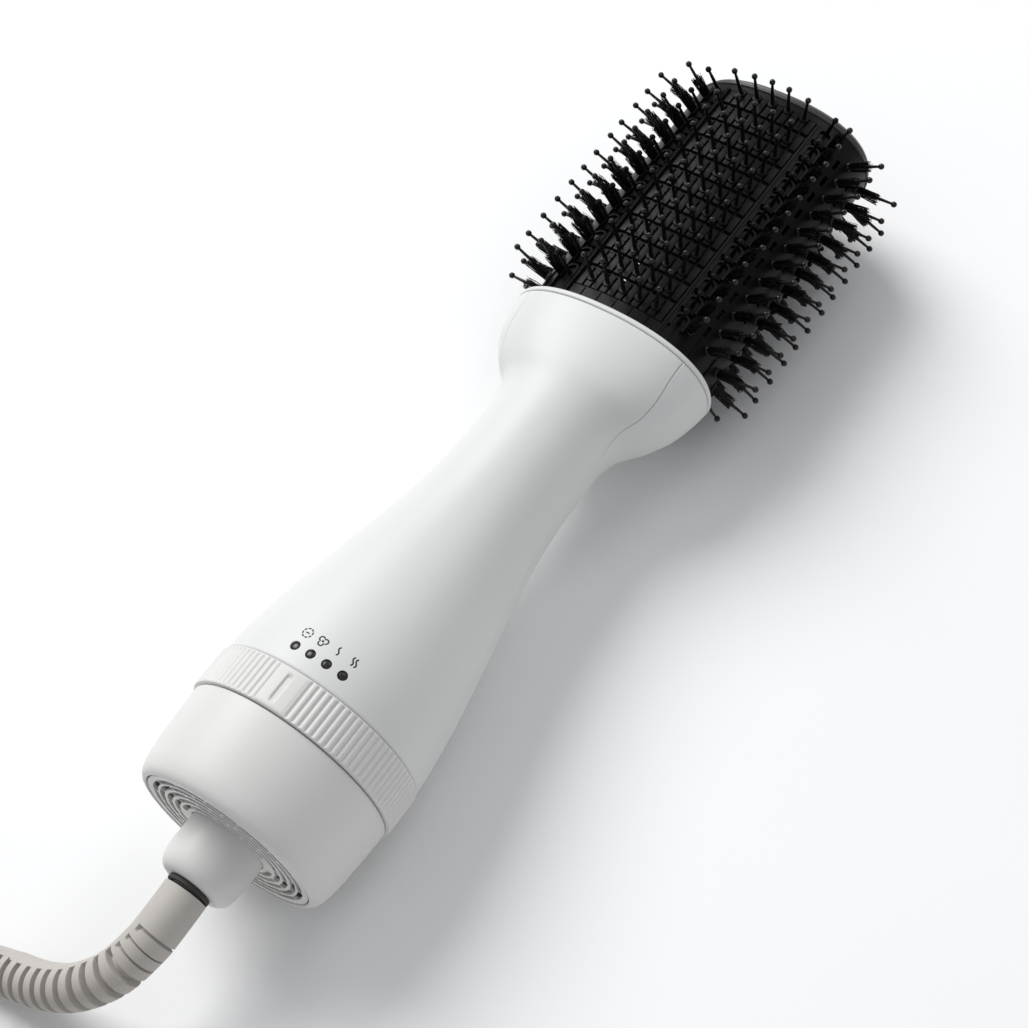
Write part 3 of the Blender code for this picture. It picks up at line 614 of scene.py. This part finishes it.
def make_relief():
    points = smooth_points(RELIEF_ROUTE, RELIEF_STEP)
    total = RELIEF_STEP * (len(points) - 1)
    rings = []
    for i, (point, up, side) in enumerate(sweep_frames(points)):
        spine_angle = math.atan2(RELIEF_SPINE.dot(side), RELIEF_SPINE.dot(up))
        ring = []
        for k in range(RELIEF_SIDES):
            angle = 2 * math.pi * k / RELIEF_SIDES
            away = abs((angle - spine_angle + math.pi) % (2 * math.pi) - math.pi)
            radius = relief_radius(i * RELIEF_STEP, total, away)
            ring.append(point + up * (radius * math.cos(angle)) + side * (radius * math.sin(angle)))
        rings.append(ring)
    bm = bmesh.new()
    add_loft(bm, rings)
    relief = closed_piece("ribbed_strain_relief", bm, Matrix.Identity(4), 50)
    return finish_piece(relief, RELIEF_RUBBER, "lead", "pale_rubber", "strain_relief")


def make_plug():
    """A flat plug body behind a short grooved relief."""
    pose = (Matrix.Translation(TAIL_ROUTE[-1]) @ Matrix.Rotation(PLUG_HEADING, 4, "Z")
            @ Matrix(((0, 0, 1, 0), (1, 0, 0, 0), (0, 1, 0, 0), (0, 0, 0, 1))))
    sections = [(0.0003, 0.0046, 0.0046, 2.0), (0.0008, 0.0050, 0.0050, 2.0)]
    for i in range(4):
        z = 0.0016 + i * 0.0021
        wide = 0.0052 + i * 0.0003
        groove = wide - 0.0008
        sections += [(z, wide, wide, 2.0), (z + 0.0002, groove, groove, 2.0),
                     (z + 0.0009, groove, groove, 2.0), (z + 0.0011, wide, wide, 2.0)]
    sections += [(0.0108, 0.0064, 0.0060, 2.1), (0.0135, 0.0084, 0.0072, 2.3),
                 (0.0160, 0.0100, 0.0084, 2.5), (0.0195, 0.0119, 0.0092, 2.9),
                 (0.0240, 0.0133, 0.0097, 3.4), (0.0300, 0.0138, 0.0099, 3.8),
                 (PLUG_LENGTH - 0.0020, 0.0140, 0.0100, 4.0),
                 (PLUG_LENGTH - 0.0009, 0.0138, 0.0098, 4.0),
                 (PLUG_LENGTH - 0.0002, 0.0131, 0.0091, 4.0), (PLUG_LENGTH, 0.0122, 0.0082, 4.0)]
    bm = bmesh.new()
    add_loft(bm, [oval_ring(a, b, power, z, 64) for z, a, b, power in sections])
    plug = mesh_object("moulded_plug", bm, pose)
    return finish_piece(plug, CORD_RUBBER, "lead", "pale_rubber", "plug_body")


def make_tie():
    """A tie round the coil's turns, on the side away from the plug; its underside lies flat."""
    middle = coil_point(TIE_ANGLE, COIL_MEAN_R, (LAYER_LOW + LAYER_HIGH) / 2)
    out = Vector((math.cos(TIE_ANGLE), math.sin(TIE_ANGLE), 0.0))
    along = Vector((-out.y, out.x, 0.0))
    half_a = COIL_LANE + CORD_R + 0.0003
    half_b = (LAYER_HIGH - LAYER_LOW) / 2 + CORD_R + 0.00001
    rings = []
    for x, y in oval(half_a, half_b, 4.0, 48):
        grow = Vector((x, y)).normalized() * TIE_THICK
        ring = []
        for dx, dy, dw in ((0, 0, -1), (0, 0, 1), (grow.x, grow.y, 1), (grow.x, grow.y, -1)):
            spot = middle + out * (x + dx) + along * (dw * TIE_WIDTH / 2)
            ring.append((spot.x, spot.y, max(0.0003, middle.z + y + dy)))
        rings.append(ring)
    bm = bmesh.new()
    add_loft(bm, rings, closed=True)
    tie = closed_piece("cord_tie", bm, Matrix.Identity(4))
    return finish_piece(tie, BLACK, "lead", "black_plastic")


make_camera()
make_stage()
lead = make_cord()
relief = make_relief()
plug = make_plug()
tie = make_tie()


# Handle

def collar_share(height):
    """0 below the seam's bend, 1 at the collar's rim."""
    return clamp((height - SEAM_START) / (RIM - SEAM_START))


def seam_depth(height):
    return -SEAM_RISE * math.sin(collar_share(height) * math.pi / 2) ** 1.15


def shell_section(height):
    """Half width, half depth and power of the handle's outside, smoothly through its stations."""
    stations = SHELL_STATIONS
    k = 0
    while k < len(stations) - 2 and stations[k + 1][0] < height:
        k += 1
    before = stations[max(k - 1, 0)]
    low, high = stations[k], stations[k + 1]
    after = stations[min(k + 2, len(stations) - 1)]
    span = high[0] - low[0]
    t = (height - low[0]) / span
    values = []
    for i in (1, 2):
        slope_low = (high[i] - before[i]) / (high[0] - before[0]) * span
        slope_high = (after[i] - low[i]) / (after[0] - low[0]) * span
        values.append((2 * t ** 3 - 3 * t ** 2 + 1) * low[i] + (t ** 3 - 2 * t ** 2 + t) * slope_low
                      + (-2 * t ** 3 + 3 * t ** 2) * high[i] + (t ** 3 - t ** 2) * slope_high)
    return values[0], values[1], 2 + (COLLAR_POWER - 2) * collar_share(height)


def shell_heights():
    """Heights of a shell's rings, closest together at its rounded edges."""
    low, high = 0.0510, SHELL_TOP - 0.0006
    steps = 110
    body = [low + (high - low) * i / steps for i in range(steps + 1)]
    return [0.0490, 0.0492, 0.0496, 0.0502, *body, SHELL_TOP - 0.0003, SHELL_TOP]


def half_row(z, inset, side):
    """One row of a half shell's skin, round from one seam edge to the other."""
    a, b, power = shell_section(z)
    a, b = a - inset, b - inset
    opened = clamp((z - SEAM_START - SEAM_FADE) / (SHELL_TOP - SEAM_START - SEAM_FADE))
    depth = seam_depth(z) + side * (SEAM_SHUT + (SEAM_OPEN - SEAM_SHUT) * opened ** 0.6)
    ratio = min(1.0, abs(depth) / b)
    width = a * (1 - ratio ** power) ** (1 / power)
    edge = math.atan2(math.copysign(ratio ** (power / 2), depth), (width / a) ** (power / 2))
    span = side * math.pi - 2 * edge
    return [(*oval_point(a, b, power, edge + span * i / SHELL_SIDES), z)
            for i in range(SHELL_SIDES + 1)]


def make_shell(name, side, node):
    """A half shell; side is -1 at the front. Its outline follows the seam."""
    heights = shell_heights()
    rings = []
    for z in heights:
        near_end = min(z - heights[0], heights[-1] - z)
        ease = 0.0004 * max(0.0, 1 - near_end / 0.0005) ** 2
        rings.append(half_row(z, ease, side) + half_row(z, WALL, side)[::-1])
    bm = bmesh.new()
    made = add_loft(bm, rings, capped=False)
    size = len(rings[0])
    for ring, order in ((made[0], -1), (made[-1], 1)):
        for i in range(SHELL_SIDES):
            corners = [ring[k] for k in (i, i + 1, size - 2 - i, size - 1 - i)]
            bm.faces.new(corners[::order])
    shell = closed_piece(name, bm, BRUSH, 40)
    if side < 0:
        cut(shell, light_holes())
    finish_piece(shell, WHITE, "brush", "white_shell", node)


def setting_angle(index):
    """Angle of a setting's light, from the front to the right."""
    return SETTINGS_MIDDLE + (index - (len(SETTINGS) - 1) / 2) * SETTING_STEP


def light_place(index, radius):
    """A light's place, with +Z pointing out of the handle."""
    return (Matrix.Rotation(setting_angle(index), 4, "Z")
            @ Matrix.Translation((0.0, -radius, LIGHT_HEIGHT))
            @ Matrix.Rotation(math.pi / 2, 4, "X"))


def light_holes():
    bm = bmesh.new()
    hole_r = LIGHT_R + 0.00008
    for i in range(len(SETTINGS)):
        bmesh.ops.create_cone(bm, cap_ends=True, segments=40, radius1=hole_r, radius2=hole_r,
                              depth=0.008, matrix=light_place(i, 0.0385))
    return mesh_object("light_holes", bm)


def make_lights():
    """Four smoked lenses, slightly domed and just below the surface."""
    profile = ((LIGHT_R, -0.0026), (LIGHT_R, -0.0003), (LIGHT_R * 0.92, -0.0001),
               (LIGHT_R * 0.6, 0.00012), (LIGHT_R * 0.25, 0.0002), (0.00005, 0.00021))
    for i, setting in enumerate(SETTINGS):
        place = BRUSH @ light_place(i, 0.0389 - 0.00035)
        lens = turned("lens_" + setting, profile, 40, closed=False, matrix=place)
        finish_piece(lens, LENS, "brush", "smoked_lens", "light_" + setting)


def off_mark():
    """A broken circle with a short dash in it."""
    dashes = [arc(0, 0, 0.00175, math.radians(t), math.radians(t + 33), 6)
              for t in range(0, 360, 45)]
    return [*dashes, [(-0.0007, 0.0), (0.0007, 0.0)]]


def fan_mark():
    """Three curled blades round a dot."""
    blades = []
    for t in (20, 140, 260):
        x, y = 0.00095 * math.cos(math.radians(t)), 0.00095 * math.sin(math.radians(t))
        blades.append(arc(x, y, 0.00088, math.radians(t - 100), math.radians(t + 130), 18))
    return [*blades, arc(0, 0, 0.0002, 0, 2 * math.pi, 8)]


def wave(x):
    steps = 12
    return [(x + 0.00042 * math.sin(2 * math.pi * i / steps), (i / steps - 0.5) * 0.0032)
            for i in range(steps + 1)]


def make_icons():
    """Printed marks above the lights: off, fan, low heat and high heat."""
    drawings = (off_mark(), fan_mark(), [wave(0.0)], [wave(-0.0006), wave(0.0006)])
    half = ICON_LINE / 2
    corners = ((-half, 0.0), (half, 0.0), (half, ICON_LIFT), (-half, ICON_LIFT))
    bm = bmesh.new()
    for index, lines in enumerate(drawings):
        base = setting_angle(index) + math.radians(0.6)
        for line in lines:
            rows = []
            for (x, y), run in zip(line, directions(line)):
                row = []
                for offset, raised in corners:
                    z = ICON_HEIGHT + y + run.x * offset
                    surface = shell_section(z)[0]
                    angle = base + (x - run.y * offset) / surface
                    radius = surface + raised
                    row.append((radius * math.sin(angle), -radius * math.cos(angle), z))
                rows.append(row)
            add_loft(bm, rows)
    finish_piece(closed_piece("setting_marks", bm), PRINT, "brush", "smoked_lens")


def make_collar_ring():
    low = SHELL_TOP + 0.00028
    profile = ((low, 0.0004), (low + 0.0002, 0.0001), (low + 0.0005, 0.0), (RIM - 0.0009, 0.0),
               (RIM - 0.0005, 0.00012), (RIM - 0.0002, 0.0004), (RIM, 0.0009))
    rings = [oval_ring(RIM_A - inset, RIM_B - inset, COLLAR_POWER, z, 144) for z, inset in profile]
    rings += [oval_ring(BARREL_A + 0.0003, BARREL_B + 0.0003, BARREL_POWER, z, 144)
              for z in (RIM, low)]
    bm = bmesh.new()
    add_loft(bm, rings, closed=True)
    ring = closed_piece("collar_lip", bm, BRUSH, 40)
    finish_piece(ring, WHITE, "brush", "white_shell", "collar_ring")


def dial_radius(angle, h, to_edge):
    """Radius of the dial ring, h above its middle: ribs, and a sunk bar on its smooth pad."""
    off = (angle - setting_angle(REST_SETTING) + math.pi) % (2 * math.pi) - math.pi
    radius = DIAL_R - 0.0005 * max(0.0, 1 - to_edge / DIAL_EDGE) ** 2
    past_pad = abs(off) - PAD_ANGLE / 2
    if past_pad > 0:
        share = min(1.0, past_pad / PAD_BLEND) * clamp((to_edge - 0.0002) / (DIAL_EDGE - 0.0002))
        valley = (0.5 - 0.5 * math.cos(RIB_COUNT * angle)) ** 2
        return radius - share * (RIB_SINK + RIB_DEPTH * valley)
    away = math.hypot(off * DIAL_R, max(0.0, abs(h) - BAR_HALF))
    return radius - BAR_DEPTH * smoothstep((BAR_R - away) / BAR_SLOPE)


def make_dial():
    """A ring of fine ribs with a smooth pad, and a sunk bar on the pad that points at a light."""
    steps = RIB_COUNT * 10
    middle = (DIAL_LOW + DIAL_HIGH) / 2
    half = (DIAL_HIGH - DIAL_LOW) / 2
    heights = [-half, -half + 0.0002, -half + 0.0005, -half + DIAL_EDGE]
    heights += [(-half + DIAL_EDGE) + (2 * half - 2 * DIAL_EDGE) * i / 20 for i in range(1, 20)]
    heights += [-h for h in reversed(heights[:4])]
    angles = [2 * math.pi * i / steps for i in range(steps)]
    outside = [(h, [dial_radius(angle, h, half - abs(h)) for angle in angles]) for h in heights]
    bore = [(h, [DIAL_BORE_R] * steps) for h in (half, -half)]
    rings = []
    for h, radii in outside + bore:
        rings.append([(radius * math.sin(angle), -radius * math.cos(angle), middle + h)
                      for angle, radius in zip(angles, radii)])
    bm = bmesh.new()
    add_loft(bm, rings, closed=True)
    dial = closed_piece("ribbed_dial", bm, BRUSH, 60)
    finish_piece(dial, BASE_WHITE, "dial", "base_white", "dial_ring")


def make_base_cap():
    cap = turned("smooth_base_cap", (
        (0.0330, 0.0), (0.0339, 0.0001), (0.0348, 0.0006), (0.0356, 0.0014), (0.0362, 0.0026),
        (0.0368, 0.0044), (0.0372, 0.0062), (0.0376, 0.0095), (0.0380, 0.0130), (0.0384, 0.0190),
        (0.0387, 0.0250), (0.0389, 0.0300), (0.0389, CAP_TOP - 0.0004), (0.0386, CAP_TOP),
        (0.0368, CAP_TOP), (0.0362, 0.0130), (0.0352, 0.0020), (0.0325, 0.0020)), 160)
    finish_piece(cap, BASE_WHITE, "brush", "base_white", "base_cap")


def slot_points(radius, middle, reach, half):
    """An arc slot with round ends."""
    start, end = middle - reach, middle + reach
    sixth = math.pi / 6
    return [*arc(0, 0, radius + half, start, end, 8),
            *arc(radius * math.cos(end), radius * math.sin(end), half,
                 end + sixth, end + 5 * sixth, 4),
            *arc(0, 0, radius - half, end, start, 8),
            *arc(radius * math.cos(start), radius * math.sin(start), half,
                 start + math.pi + sixth, start + math.pi + 5 * sixth, 4)]


def grille_slots():
    """Five rows of arc slots; the first two leave room for the two screws."""
    slots = []
    for row, count in enumerate(SLOTS_IN_ROW):
        radius = SLOT_FIRST_R + row * SLOT_PITCH
        if row == len(SLOTS_IN_ROW) - 1:
            radius -= 0.0003
        for i in range(count):
            middle = 2 * math.pi * (i + 0.5 * (row % 2)) / count
            reach = math.pi / count - SLOT_WEB / radius
            if abs(math.sin(middle)) < 0.30 and abs(radius - SCREW_R) < 0.0032:
                continue
            slots.append(slot_points(radius, middle, reach, SLOT_HALF))
    return slots


def make_grille():
    """The base's end plate, with radial webs between its slots."""
    curve = bpy.data.curves.new("grille", "CURVE")
    curve.dimensions = "2D"
    curve.fill_mode = "BOTH"
    curve.extrude = GRILLE_THICK / 2
    for loop in (circle(GRILLE_R, 128), circle(BOSS_R + 0.0003, 96), *grille_slots()):
        spline = curve.splines.new("POLY")
        spline.points.add(len(loop) - 1)
        for point, (x, y) in zip(spline.points, loop):
            point.co = (x, y, 0.0, 1.0)
        spline.use_cyclic_u = True
    plate = bpy.data.objects.new("slotted_grille", curve)
    bpy.context.scene.collection.objects.link(plate)
    mesh = evaluated_mesh(plate)
    bpy.data.objects.remove(plate, do_unlink=True)
    bm = bmesh.new()
    bm.from_mesh(mesh)
    bmesh.ops.remove_doubles(bm, verts=bm.verts, dist=1e-6)
    grille = closed_piece("slotted_grille", bm, BRUSH @ lift(0.0003 + GRILLE_THICK / 2), 30)
    finish_piece(grille, BASE_WHITE, "brush", "base_white", "inlet_grille")


def make_boss():
    boss = turned("round_cord_boss", (
        (0.0062, BOSS_END), (0.0098, BOSS_END), (0.0104, -0.0184), (0.0112, -0.0181),
        (0.0120, -0.0175), (0.0127, -0.0167), (0.0133, -0.0156), (0.0137, -0.0142),
        (0.0140, -0.0126), (0.0142, -0.0100), (BOSS_R, -0.0060), (BOSS_R, 0.0027),
        (0.0212, 0.0027), (0.0212, 0.0045), (0.0086, 0.0045), (0.0086, -0.0160),
        (0.0062, -0.0160)), 128)
    finish_piece(boss, BASE_WHITE, "brush", "base_white", "cord_boss")


def make_seal():
    low, high = SWIVEL_END, BOSS_END - 0.0003
    seal = turned("dark_swivel_seal", rounded((
        (SWIVEL_R, low), (SWIVEL_R, high), (0.0061, high), (0.0061, low)), 0.0003), 96)
    finish_piece(seal, DARK_RUBBER, "lead", "dark_rubber", "swivel_seal")


make_shell("smooth_front_shell", -1, "front_shell")
make_shell("smooth_rear_shell", 1, "rear_shell")
make_lights()
make_icons()
make_collar_ring()
make_dial()
make_base_cap()
make_grille()
make_boss()
make_seal()


# Head

def section_point(degrees, grow=0.0):
    """A point of the barrel's section, moved out by grow, and its outward normal."""
    u, v = oval_point(1.0, 1.0, BARREL_POWER, math.radians(degrees))
    normal = Vector((math.copysign(abs(u) ** (BARREL_POWER - 1), u) / BARREL_A,
                     math.copysign(abs(v) ** (BARREL_POWER - 1), v) / BARREL_B, 0.0)).normalized()
    return Vector((BARREL_A * u, BARREL_B * v, 0.0)) + normal * grow, normal


def section_points(angles, height, grow):
    points = [section_point(degrees, grow)[0] for degrees in angles]
    return [(p.x, p.y, height) for p in points]


def barrel_ring(height, grow):
    return section_points([360 * i / 180 for i in range(180)], height, grow)


def face_depth(x):
    return BARREL_B * (1 - abs(x / BARREL_A) ** BARREL_POWER) ** (1 / BARREL_POWER)


def face_angle(x, side):
    """The section angle, in degrees, of a place on a face; side is -1 at the front."""
    c = abs(x / BARREL_A) ** (BARREL_POWER / 2)
    degrees = math.degrees(math.acos(min(1.0, c)))
    if x < 0:
        degrees = 180 - degrees
    return side * degrees


def row_matrix(degrees):
    """A place on the barrel's section with +X pointing out of it."""
    point, normal = section_point(degrees)
    return Matrix.Translation(point) @ Matrix.Rotation(math.atan2(normal.y, normal.x), 4, "Z")


def face_matrix(x, side):
    """A place on a face with +X pointing out of it."""
    _, normal = section_point(face_angle(x, side))
    out = math.atan2(side, normal.x / abs(normal.y))
    return Matrix.Translation((x, side * face_depth(x), 0.0)) @ Matrix.Rotation(out, 4, "Z")


def tilt(rng, most):
    """A small random lean."""
    return Matrix.Rotation(rng.uniform(-most, most), 4, "Y") @ Matrix.Rotation(
        rng.uniform(-most, most), 4, "Z")


def add_turned(bm, matrix, profile, sides):
    """A small turned form along +X of a matrix, from (distance, radius) points."""
    add_loft(bm, [[matrix @ Vector((along, y, z)) for y, z in circle(radius, sides)]
                  for along, radius in profile])


def pin_profile(length):
    """A tapered pin that ends in a ball."""
    centre = length - BALL_R
    profile = [(-0.0004, 0.00105), (0.0006, 0.00082), (length * 0.5, 0.00065),
               (centre - BALL_R * 0.88, 0.00050)]
    for degrees in (-58, -30, 0, 30, 58, 80):
        angle = math.radians(degrees)
        profile.append((centre + BALL_R * math.sin(angle), BALL_R * math.cos(angle)))
    return profile


def add_tuft(bm, matrix, length, rng):
    """A bundle of fine bristles that spreads towards its uneven end."""
    for _ in range(TUFT_HAIRS):
        turn = rng.uniform(0, 2 * math.pi)
        away = math.sqrt(rng.random())
        foot = away * 0.0017
        lean = away * 0.045 + rng.uniform(-0.025, 0.025)
        reach = length * rng.uniform(0.86, 1.0)
        thick = rng.uniform(0.00011, 0.00016)
        bend = rng.uniform(-0.0005, 0.0005)
        across = Vector((0.0, math.cos(turn), math.sin(turn)))
        aside = Vector((0.0, -math.sin(turn), math.cos(turn)))
        rings = []
        for k in range(4):
            t = k / 3
            middle = (Vector((t * reach, 0, 0)) + across * (foot + lean * t * reach)
                      + aside * (bend * math.sin(2.5 * t * math.pi)))
            size = thick * (1.0 - 0.35 * t)
            rings.append([matrix @ (middle + Vector((0.0, size * math.cos(2.1 * i + turn),
                                                     size * math.sin(2.1 * i + turn))))
                          for i in range(3)])
        add_loft(bm, rings)


def add_arch(bm, matrix):
    """A raised U-shaped frame round a slot, open towards the base."""
    half, foot, shoulder = ARCH_WIDTH / 2, -ARCH_HEIGHT / 2, ARCH_HEIGHT * 0.22
    outline = [(-half, foot), (-half, shoulder)]
    for i in range(1, 8):
        angle = math.pi - math.pi * i / 8
        outline.append((half * math.cos(angle), shoulder + ARCH_HEIGHT * 0.28 * math.sin(angle)))
    outline += [(half, shoulder), (half, foot)]
    corners = ((-RAIL_SINK, -ARCH_THICK / 2), (-RAIL_SINK, ARCH_THICK / 2),
               (ARCH_RISE, ARCH_THICK * 0.35), (ARCH_RISE, -ARCH_THICK * 0.35))
    add_loft(bm, [[matrix @ Vector((x, y - run.y * offset, z + run.x * offset))
                   for x, offset in corners] for (y, z), run in zip(outline, directions(outline))])


def add_tile(bm, matrix, wide, tall):
    """A low tile with bevelled edges."""
    rings = []
    for x, inset in ((-0.0012, 0.0), (0.0, 0.0), (0.00025, 0.00022), (0.0003, 0.0006)):
        half_y, half_z = wide / 2 - inset, tall / 2 - inset
        rings.append([matrix @ Vector((x, y, z)) for y, z in (
            (-half_y, -half_z), (half_y, -half_z), (half_y, half_z), (-half_y, half_z))])
    add_loft(bm, rings)


def add_band(bm, start, end, high, grow):
    """A raised strip up the barrel, between two angles of its section."""
    count = max(2, int(abs(end - start) / 3))
    angles = [start + (end - start) * i / count for i in range(count + 1)]
    add_loft(bm, [section_points(angles, z, grow) + section_points(angles[::-1], z, -RAIL_SINK)
                  for z in (RAIL_LOW, high)])


def make_row(number, name, degrees, length):
    """Ball-tipped pins, and the tufts that they rise out of."""
    rng = random.Random(100 + number)
    base = row_matrix(degrees)
    pins = bmesh.new()
    for height in PIN_HEIGHTS:
        place = base @ lift(height) @ tilt(rng, 0.05)
        add_turned(pins, place, pin_profile(length), 10)
        add_turned(pins, place, ROW_FOOT, 16)
    row = closed_piece("pins_" + name, pins, BRUSH, 50)
    finish_piece(row, BLACK_PIN, "brush", "black_nylon", "bristle_row_" + name)
    bristles = bmesh.new()
    for height in PIN_HEIGHTS:
        place = base @ Matrix.Translation((0.0002, 0, height)) @ tilt(rng, 0.07)
        add_tuft(bristles, place, length * TUFT_SHARE, rng)
    tufts = mesh_object("tufts_" + name, bristles, BRUSH, 50)
    finish_piece(tufts, TUFT, "brush", "black_nylon")


def make_barrel():
    """The tube, cut out for its two face panels and slotted between its pins."""
    bm = bmesh.new()
    add_loft(bm, [barrel_ring(z, grow) for z, grow in (
        (BARREL_LOW, 0.0), (BARREL_HIGH, 0.0), (BARREL_HIGH, -BARREL_WALL),
        (BARREL_LOW, -BARREL_WALL))], closed=True)
    barrel = mesh_object("smooth_barrel", bm, BRUSH, 40)
    cuts = bmesh.new()
    for side in (-1, 1):
        add_box(cuts, Matrix.Translation((0, side * BARREL_B, (PANEL_LOW + PANEL_HIGH) / 2)),
                (2 * PANEL_HALF_WIDTH, 0.0140, PANEL_HIGH - PANEL_LOW))
        for x in (-COLUMN_VENT_X, COLUMN_VENT_X):
            for height in VENT_HEIGHTS:
                add_box(cuts, row_matrix(face_angle(x, side)) @ lift(height), COLUMN_VENT_SIZE)
    for degrees in SLOT_ANGLES:
        for height in VENT_HEIGHTS:
            add_box(cuts, row_matrix(degrees) @ lift(height), SLOT_SIZE)
    cut(barrel, mesh_object("barrel_cuts", cuts))
    finish_piece(barrel, BLACK, "brush", "black_plastic", "barrel")


def make_vent_frames():
    """Raised rails, and beside each face a column of arches with a tile and a pin in each."""
    bm = bmesh.new()
    for side in (-1, 1):
        for direction in (-1, 1):
            for x in RAIL_X:
                start, end = (face_angle(direction * edge, side)
                              for edge in (x - RAIL_HALF, x + RAIL_HALF))
                add_band(bm, start, end, PANEL_HIGH, 0.0010)
            spot = row_matrix(face_angle(direction * ARCH_X, side))
            for height, pin_height in zip(PIN_HEIGHTS, FACE_PIN_HEIGHTS):
                add_arch(bm, spot @ lift(height))
                add_tile(bm, spot @ Matrix.Translation((-0.0001, 0, height)), 0.0058, 0.0060)
                add_turned(bm, spot @ lift(pin_height - 0.0006),
                           pin_profile(FACE_PIN_LENGTH - 0.0010), 10)
        for x in FACE_PIN_X:
            add_band(bm, face_angle(x - RAIL_HALF, side), face_angle(x + RAIL_HALF, side),
                     PANEL_LOW - 0.0002, 0.0004)
    for degrees in BAND_ANGLES:
        add_band(bm, degrees - 0.5, degrees + 0.5, PIN_FIRST + 0.001, 0.0005)
    frames = closed_piece("vent_frames", bm, BRUSH, 40)
    finish_piece(frames, BLACK, "brush", "black_plastic")


def make_panel_plate(name, side, node):
    """The floor of a flat face, with vents between the columns of pins."""
    xs = [PANEL_HALF_WIDTH * (i / 12 - 1) for i in range(25)]
    bm = bmesh.new()
    add_loft(bm, [[(x, side * (face_depth(x) - PANEL_SINK), z) for x in xs]
                  + [(x, side * (face_depth(x) - PANEL_UNDERSIDE), z) for x in reversed(xs)]
                  for z in (PANEL_LOW, PANEL_HIGH)])
    plate = closed_piece(name + "_plate", bm, BRUSH, 40)
    cuts = bmesh.new()
    for before, after in zip(FACE_PIN_X, FACE_PIN_X[1:]):
        x = (before + after) / 2
        for height in VENT_HEIGHTS:
            add_box(cuts, Matrix.Translation((x, side * face_depth(x), height)), PANEL_VENT_SIZE)
    cut(plate, mesh_object("panel_cuts", cuts))
    finish_piece(plate, BLACK, "brush", "black_plastic", node)


def make_panel_tiles(name, side):
    """Tiles in rows that curve towards the tip at both ends, and a collar round each pin."""
    tile_pitch = (FACE_PIN_X[1] - FACE_PIN_X[0]) / 2
    bm = bmesh.new()
    for column in range(-5, 6):
        place = face_matrix(column * tile_pitch, side)
        bow = TILE_BOW * (column / 5) ** 2
        for i in range(PIN_COUNT):
            low = PIN_FIRST + (i - 0.5) * PIN_PITCH + TILE_GAP + bow
            high = PIN_FIRST + (i + 0.5) * PIN_PITCH - TILE_GAP + bow
            if i == 0:
                low = PANEL_LOW + 0.0002
            if i == PIN_COUNT - 1:
                high = PANEL_HIGH - 0.0002
            add_tile(bm, place @ lift((low + high) / 2), TILE_WIDTH, high - low)
    for x in FACE_PIN_X:
        for height in FACE_PIN_HEIGHTS:
            add_turned(bm, face_matrix(x, side) @ lift(height), FACE_FOOT, 14)
    tiles = closed_piece(name + "_tiles", bm, BRUSH, 40)
    finish_piece(tiles, BLACK, "brush", "black_plastic")


def make_panel_pins(name, side):
    rng = random.Random(7 if side < 0 else 8)
    bm = bmesh.new()
    for x in FACE_PIN_X:
        for height in FACE_PIN_HEIGHTS:
            place = face_matrix(x, side) @ lift(height) @ tilt(rng, 0.04)
            add_turned(bm, place, pin_profile(FACE_PIN_LENGTH), 10)
    pins = closed_piece(name + "_pins", bm, BRUSH, 50)
    finish_piece(pins, BLACK_PIN, "brush", "black_nylon")


def make_end_rim():
    low = BARREL_HIGH + 0.0003
    high = low + 0.0015
    bm = bmesh.new()
    add_loft(bm, [barrel_ring(z, grow) for z, grow in (
        (low, -0.0002), (low + 0.0003, 0.0003), (low + 0.0008, 0.0004), (low + 0.0012, 0.0003),
        (high, -0.0002), (high, -0.0022), (low, -0.0022))], closed=True)
    rim = closed_piece("trim_end_rim", bm, BRUSH, 50)
    finish_piece(rim, END_TRIM, "brush", "end_trim", "end_rim")


def make_end_cap():
    stations = ((-0.0050, 0.0026), (0.0021, 0.0026), (0.0021, 0.0004), (0.0028, 0.0003),
                (0.0038, 0.0008), (0.0048, 0.0018), (0.0057, 0.0032), (0.0065, 0.0050),
                (0.0073, 0.0074), (0.0081, 0.0104), (0.0089, 0.0140), (TIP - BARREL_HIGH, 0.0185))
    bm = bmesh.new()
    add_loft(bm, [oval_ring(BARREL_A - inset, BARREL_B - inset, BARREL_POWER,
                            BARREL_HIGH + above, 180) for above, inset in stations])
    cap = closed_piece("domed_end_cap", bm, BRUSH, 30)
    finish_piece(cap, END_TRIM, "brush", "black_plastic", "end_cap")


for number, (name, degrees, length) in enumerate(ROWS):
    make_row(number, name, degrees, length)
make_barrel()
make_vent_frames()
for name, side in (("front_face", -1), ("rear_face", 1)):
    make_panel_plate(name, side, name + "_panel")
    make_panel_tiles(name, side)
    make_panel_pins(name, side)
make_end_rim()
make_end_cap()


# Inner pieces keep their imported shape

INNER = {
    "inlet_filter": DARK_RUBBER, "boss_screw_left": STEEL, "boss_screw_right": STEEL,
    "swivel_spindle": GREY, "switch_peg": GREY, "dial_carrier": GREY, "detent_spring": STEEL,
    "switch_board": BOARD, "switch_body": GREY, "supply_leads": GREY, "motor_can": STEEL,
    "lower_bush": BRASS, "upper_bush": BRASS, "motor_bracket": GREY, "motor_shaft": STEEL,
    "impeller": GREY, "fan_duct": GREY, "heat_shield": MICA, "heater_plate_a": MICA,
    "heater_plate_b": MICA, "heater_coil": STEEL, "thermostat": STEEL, "thermal_fuse": STEEL,
    "barrel_clamp": GREY, "plug_blade_left": BRASS, "plug_blade_right": BRASS,
}
for node, mat in INNER.items():
    NODES[node].data.materials.clear()
    NODES[node].data.materials.append(mat)
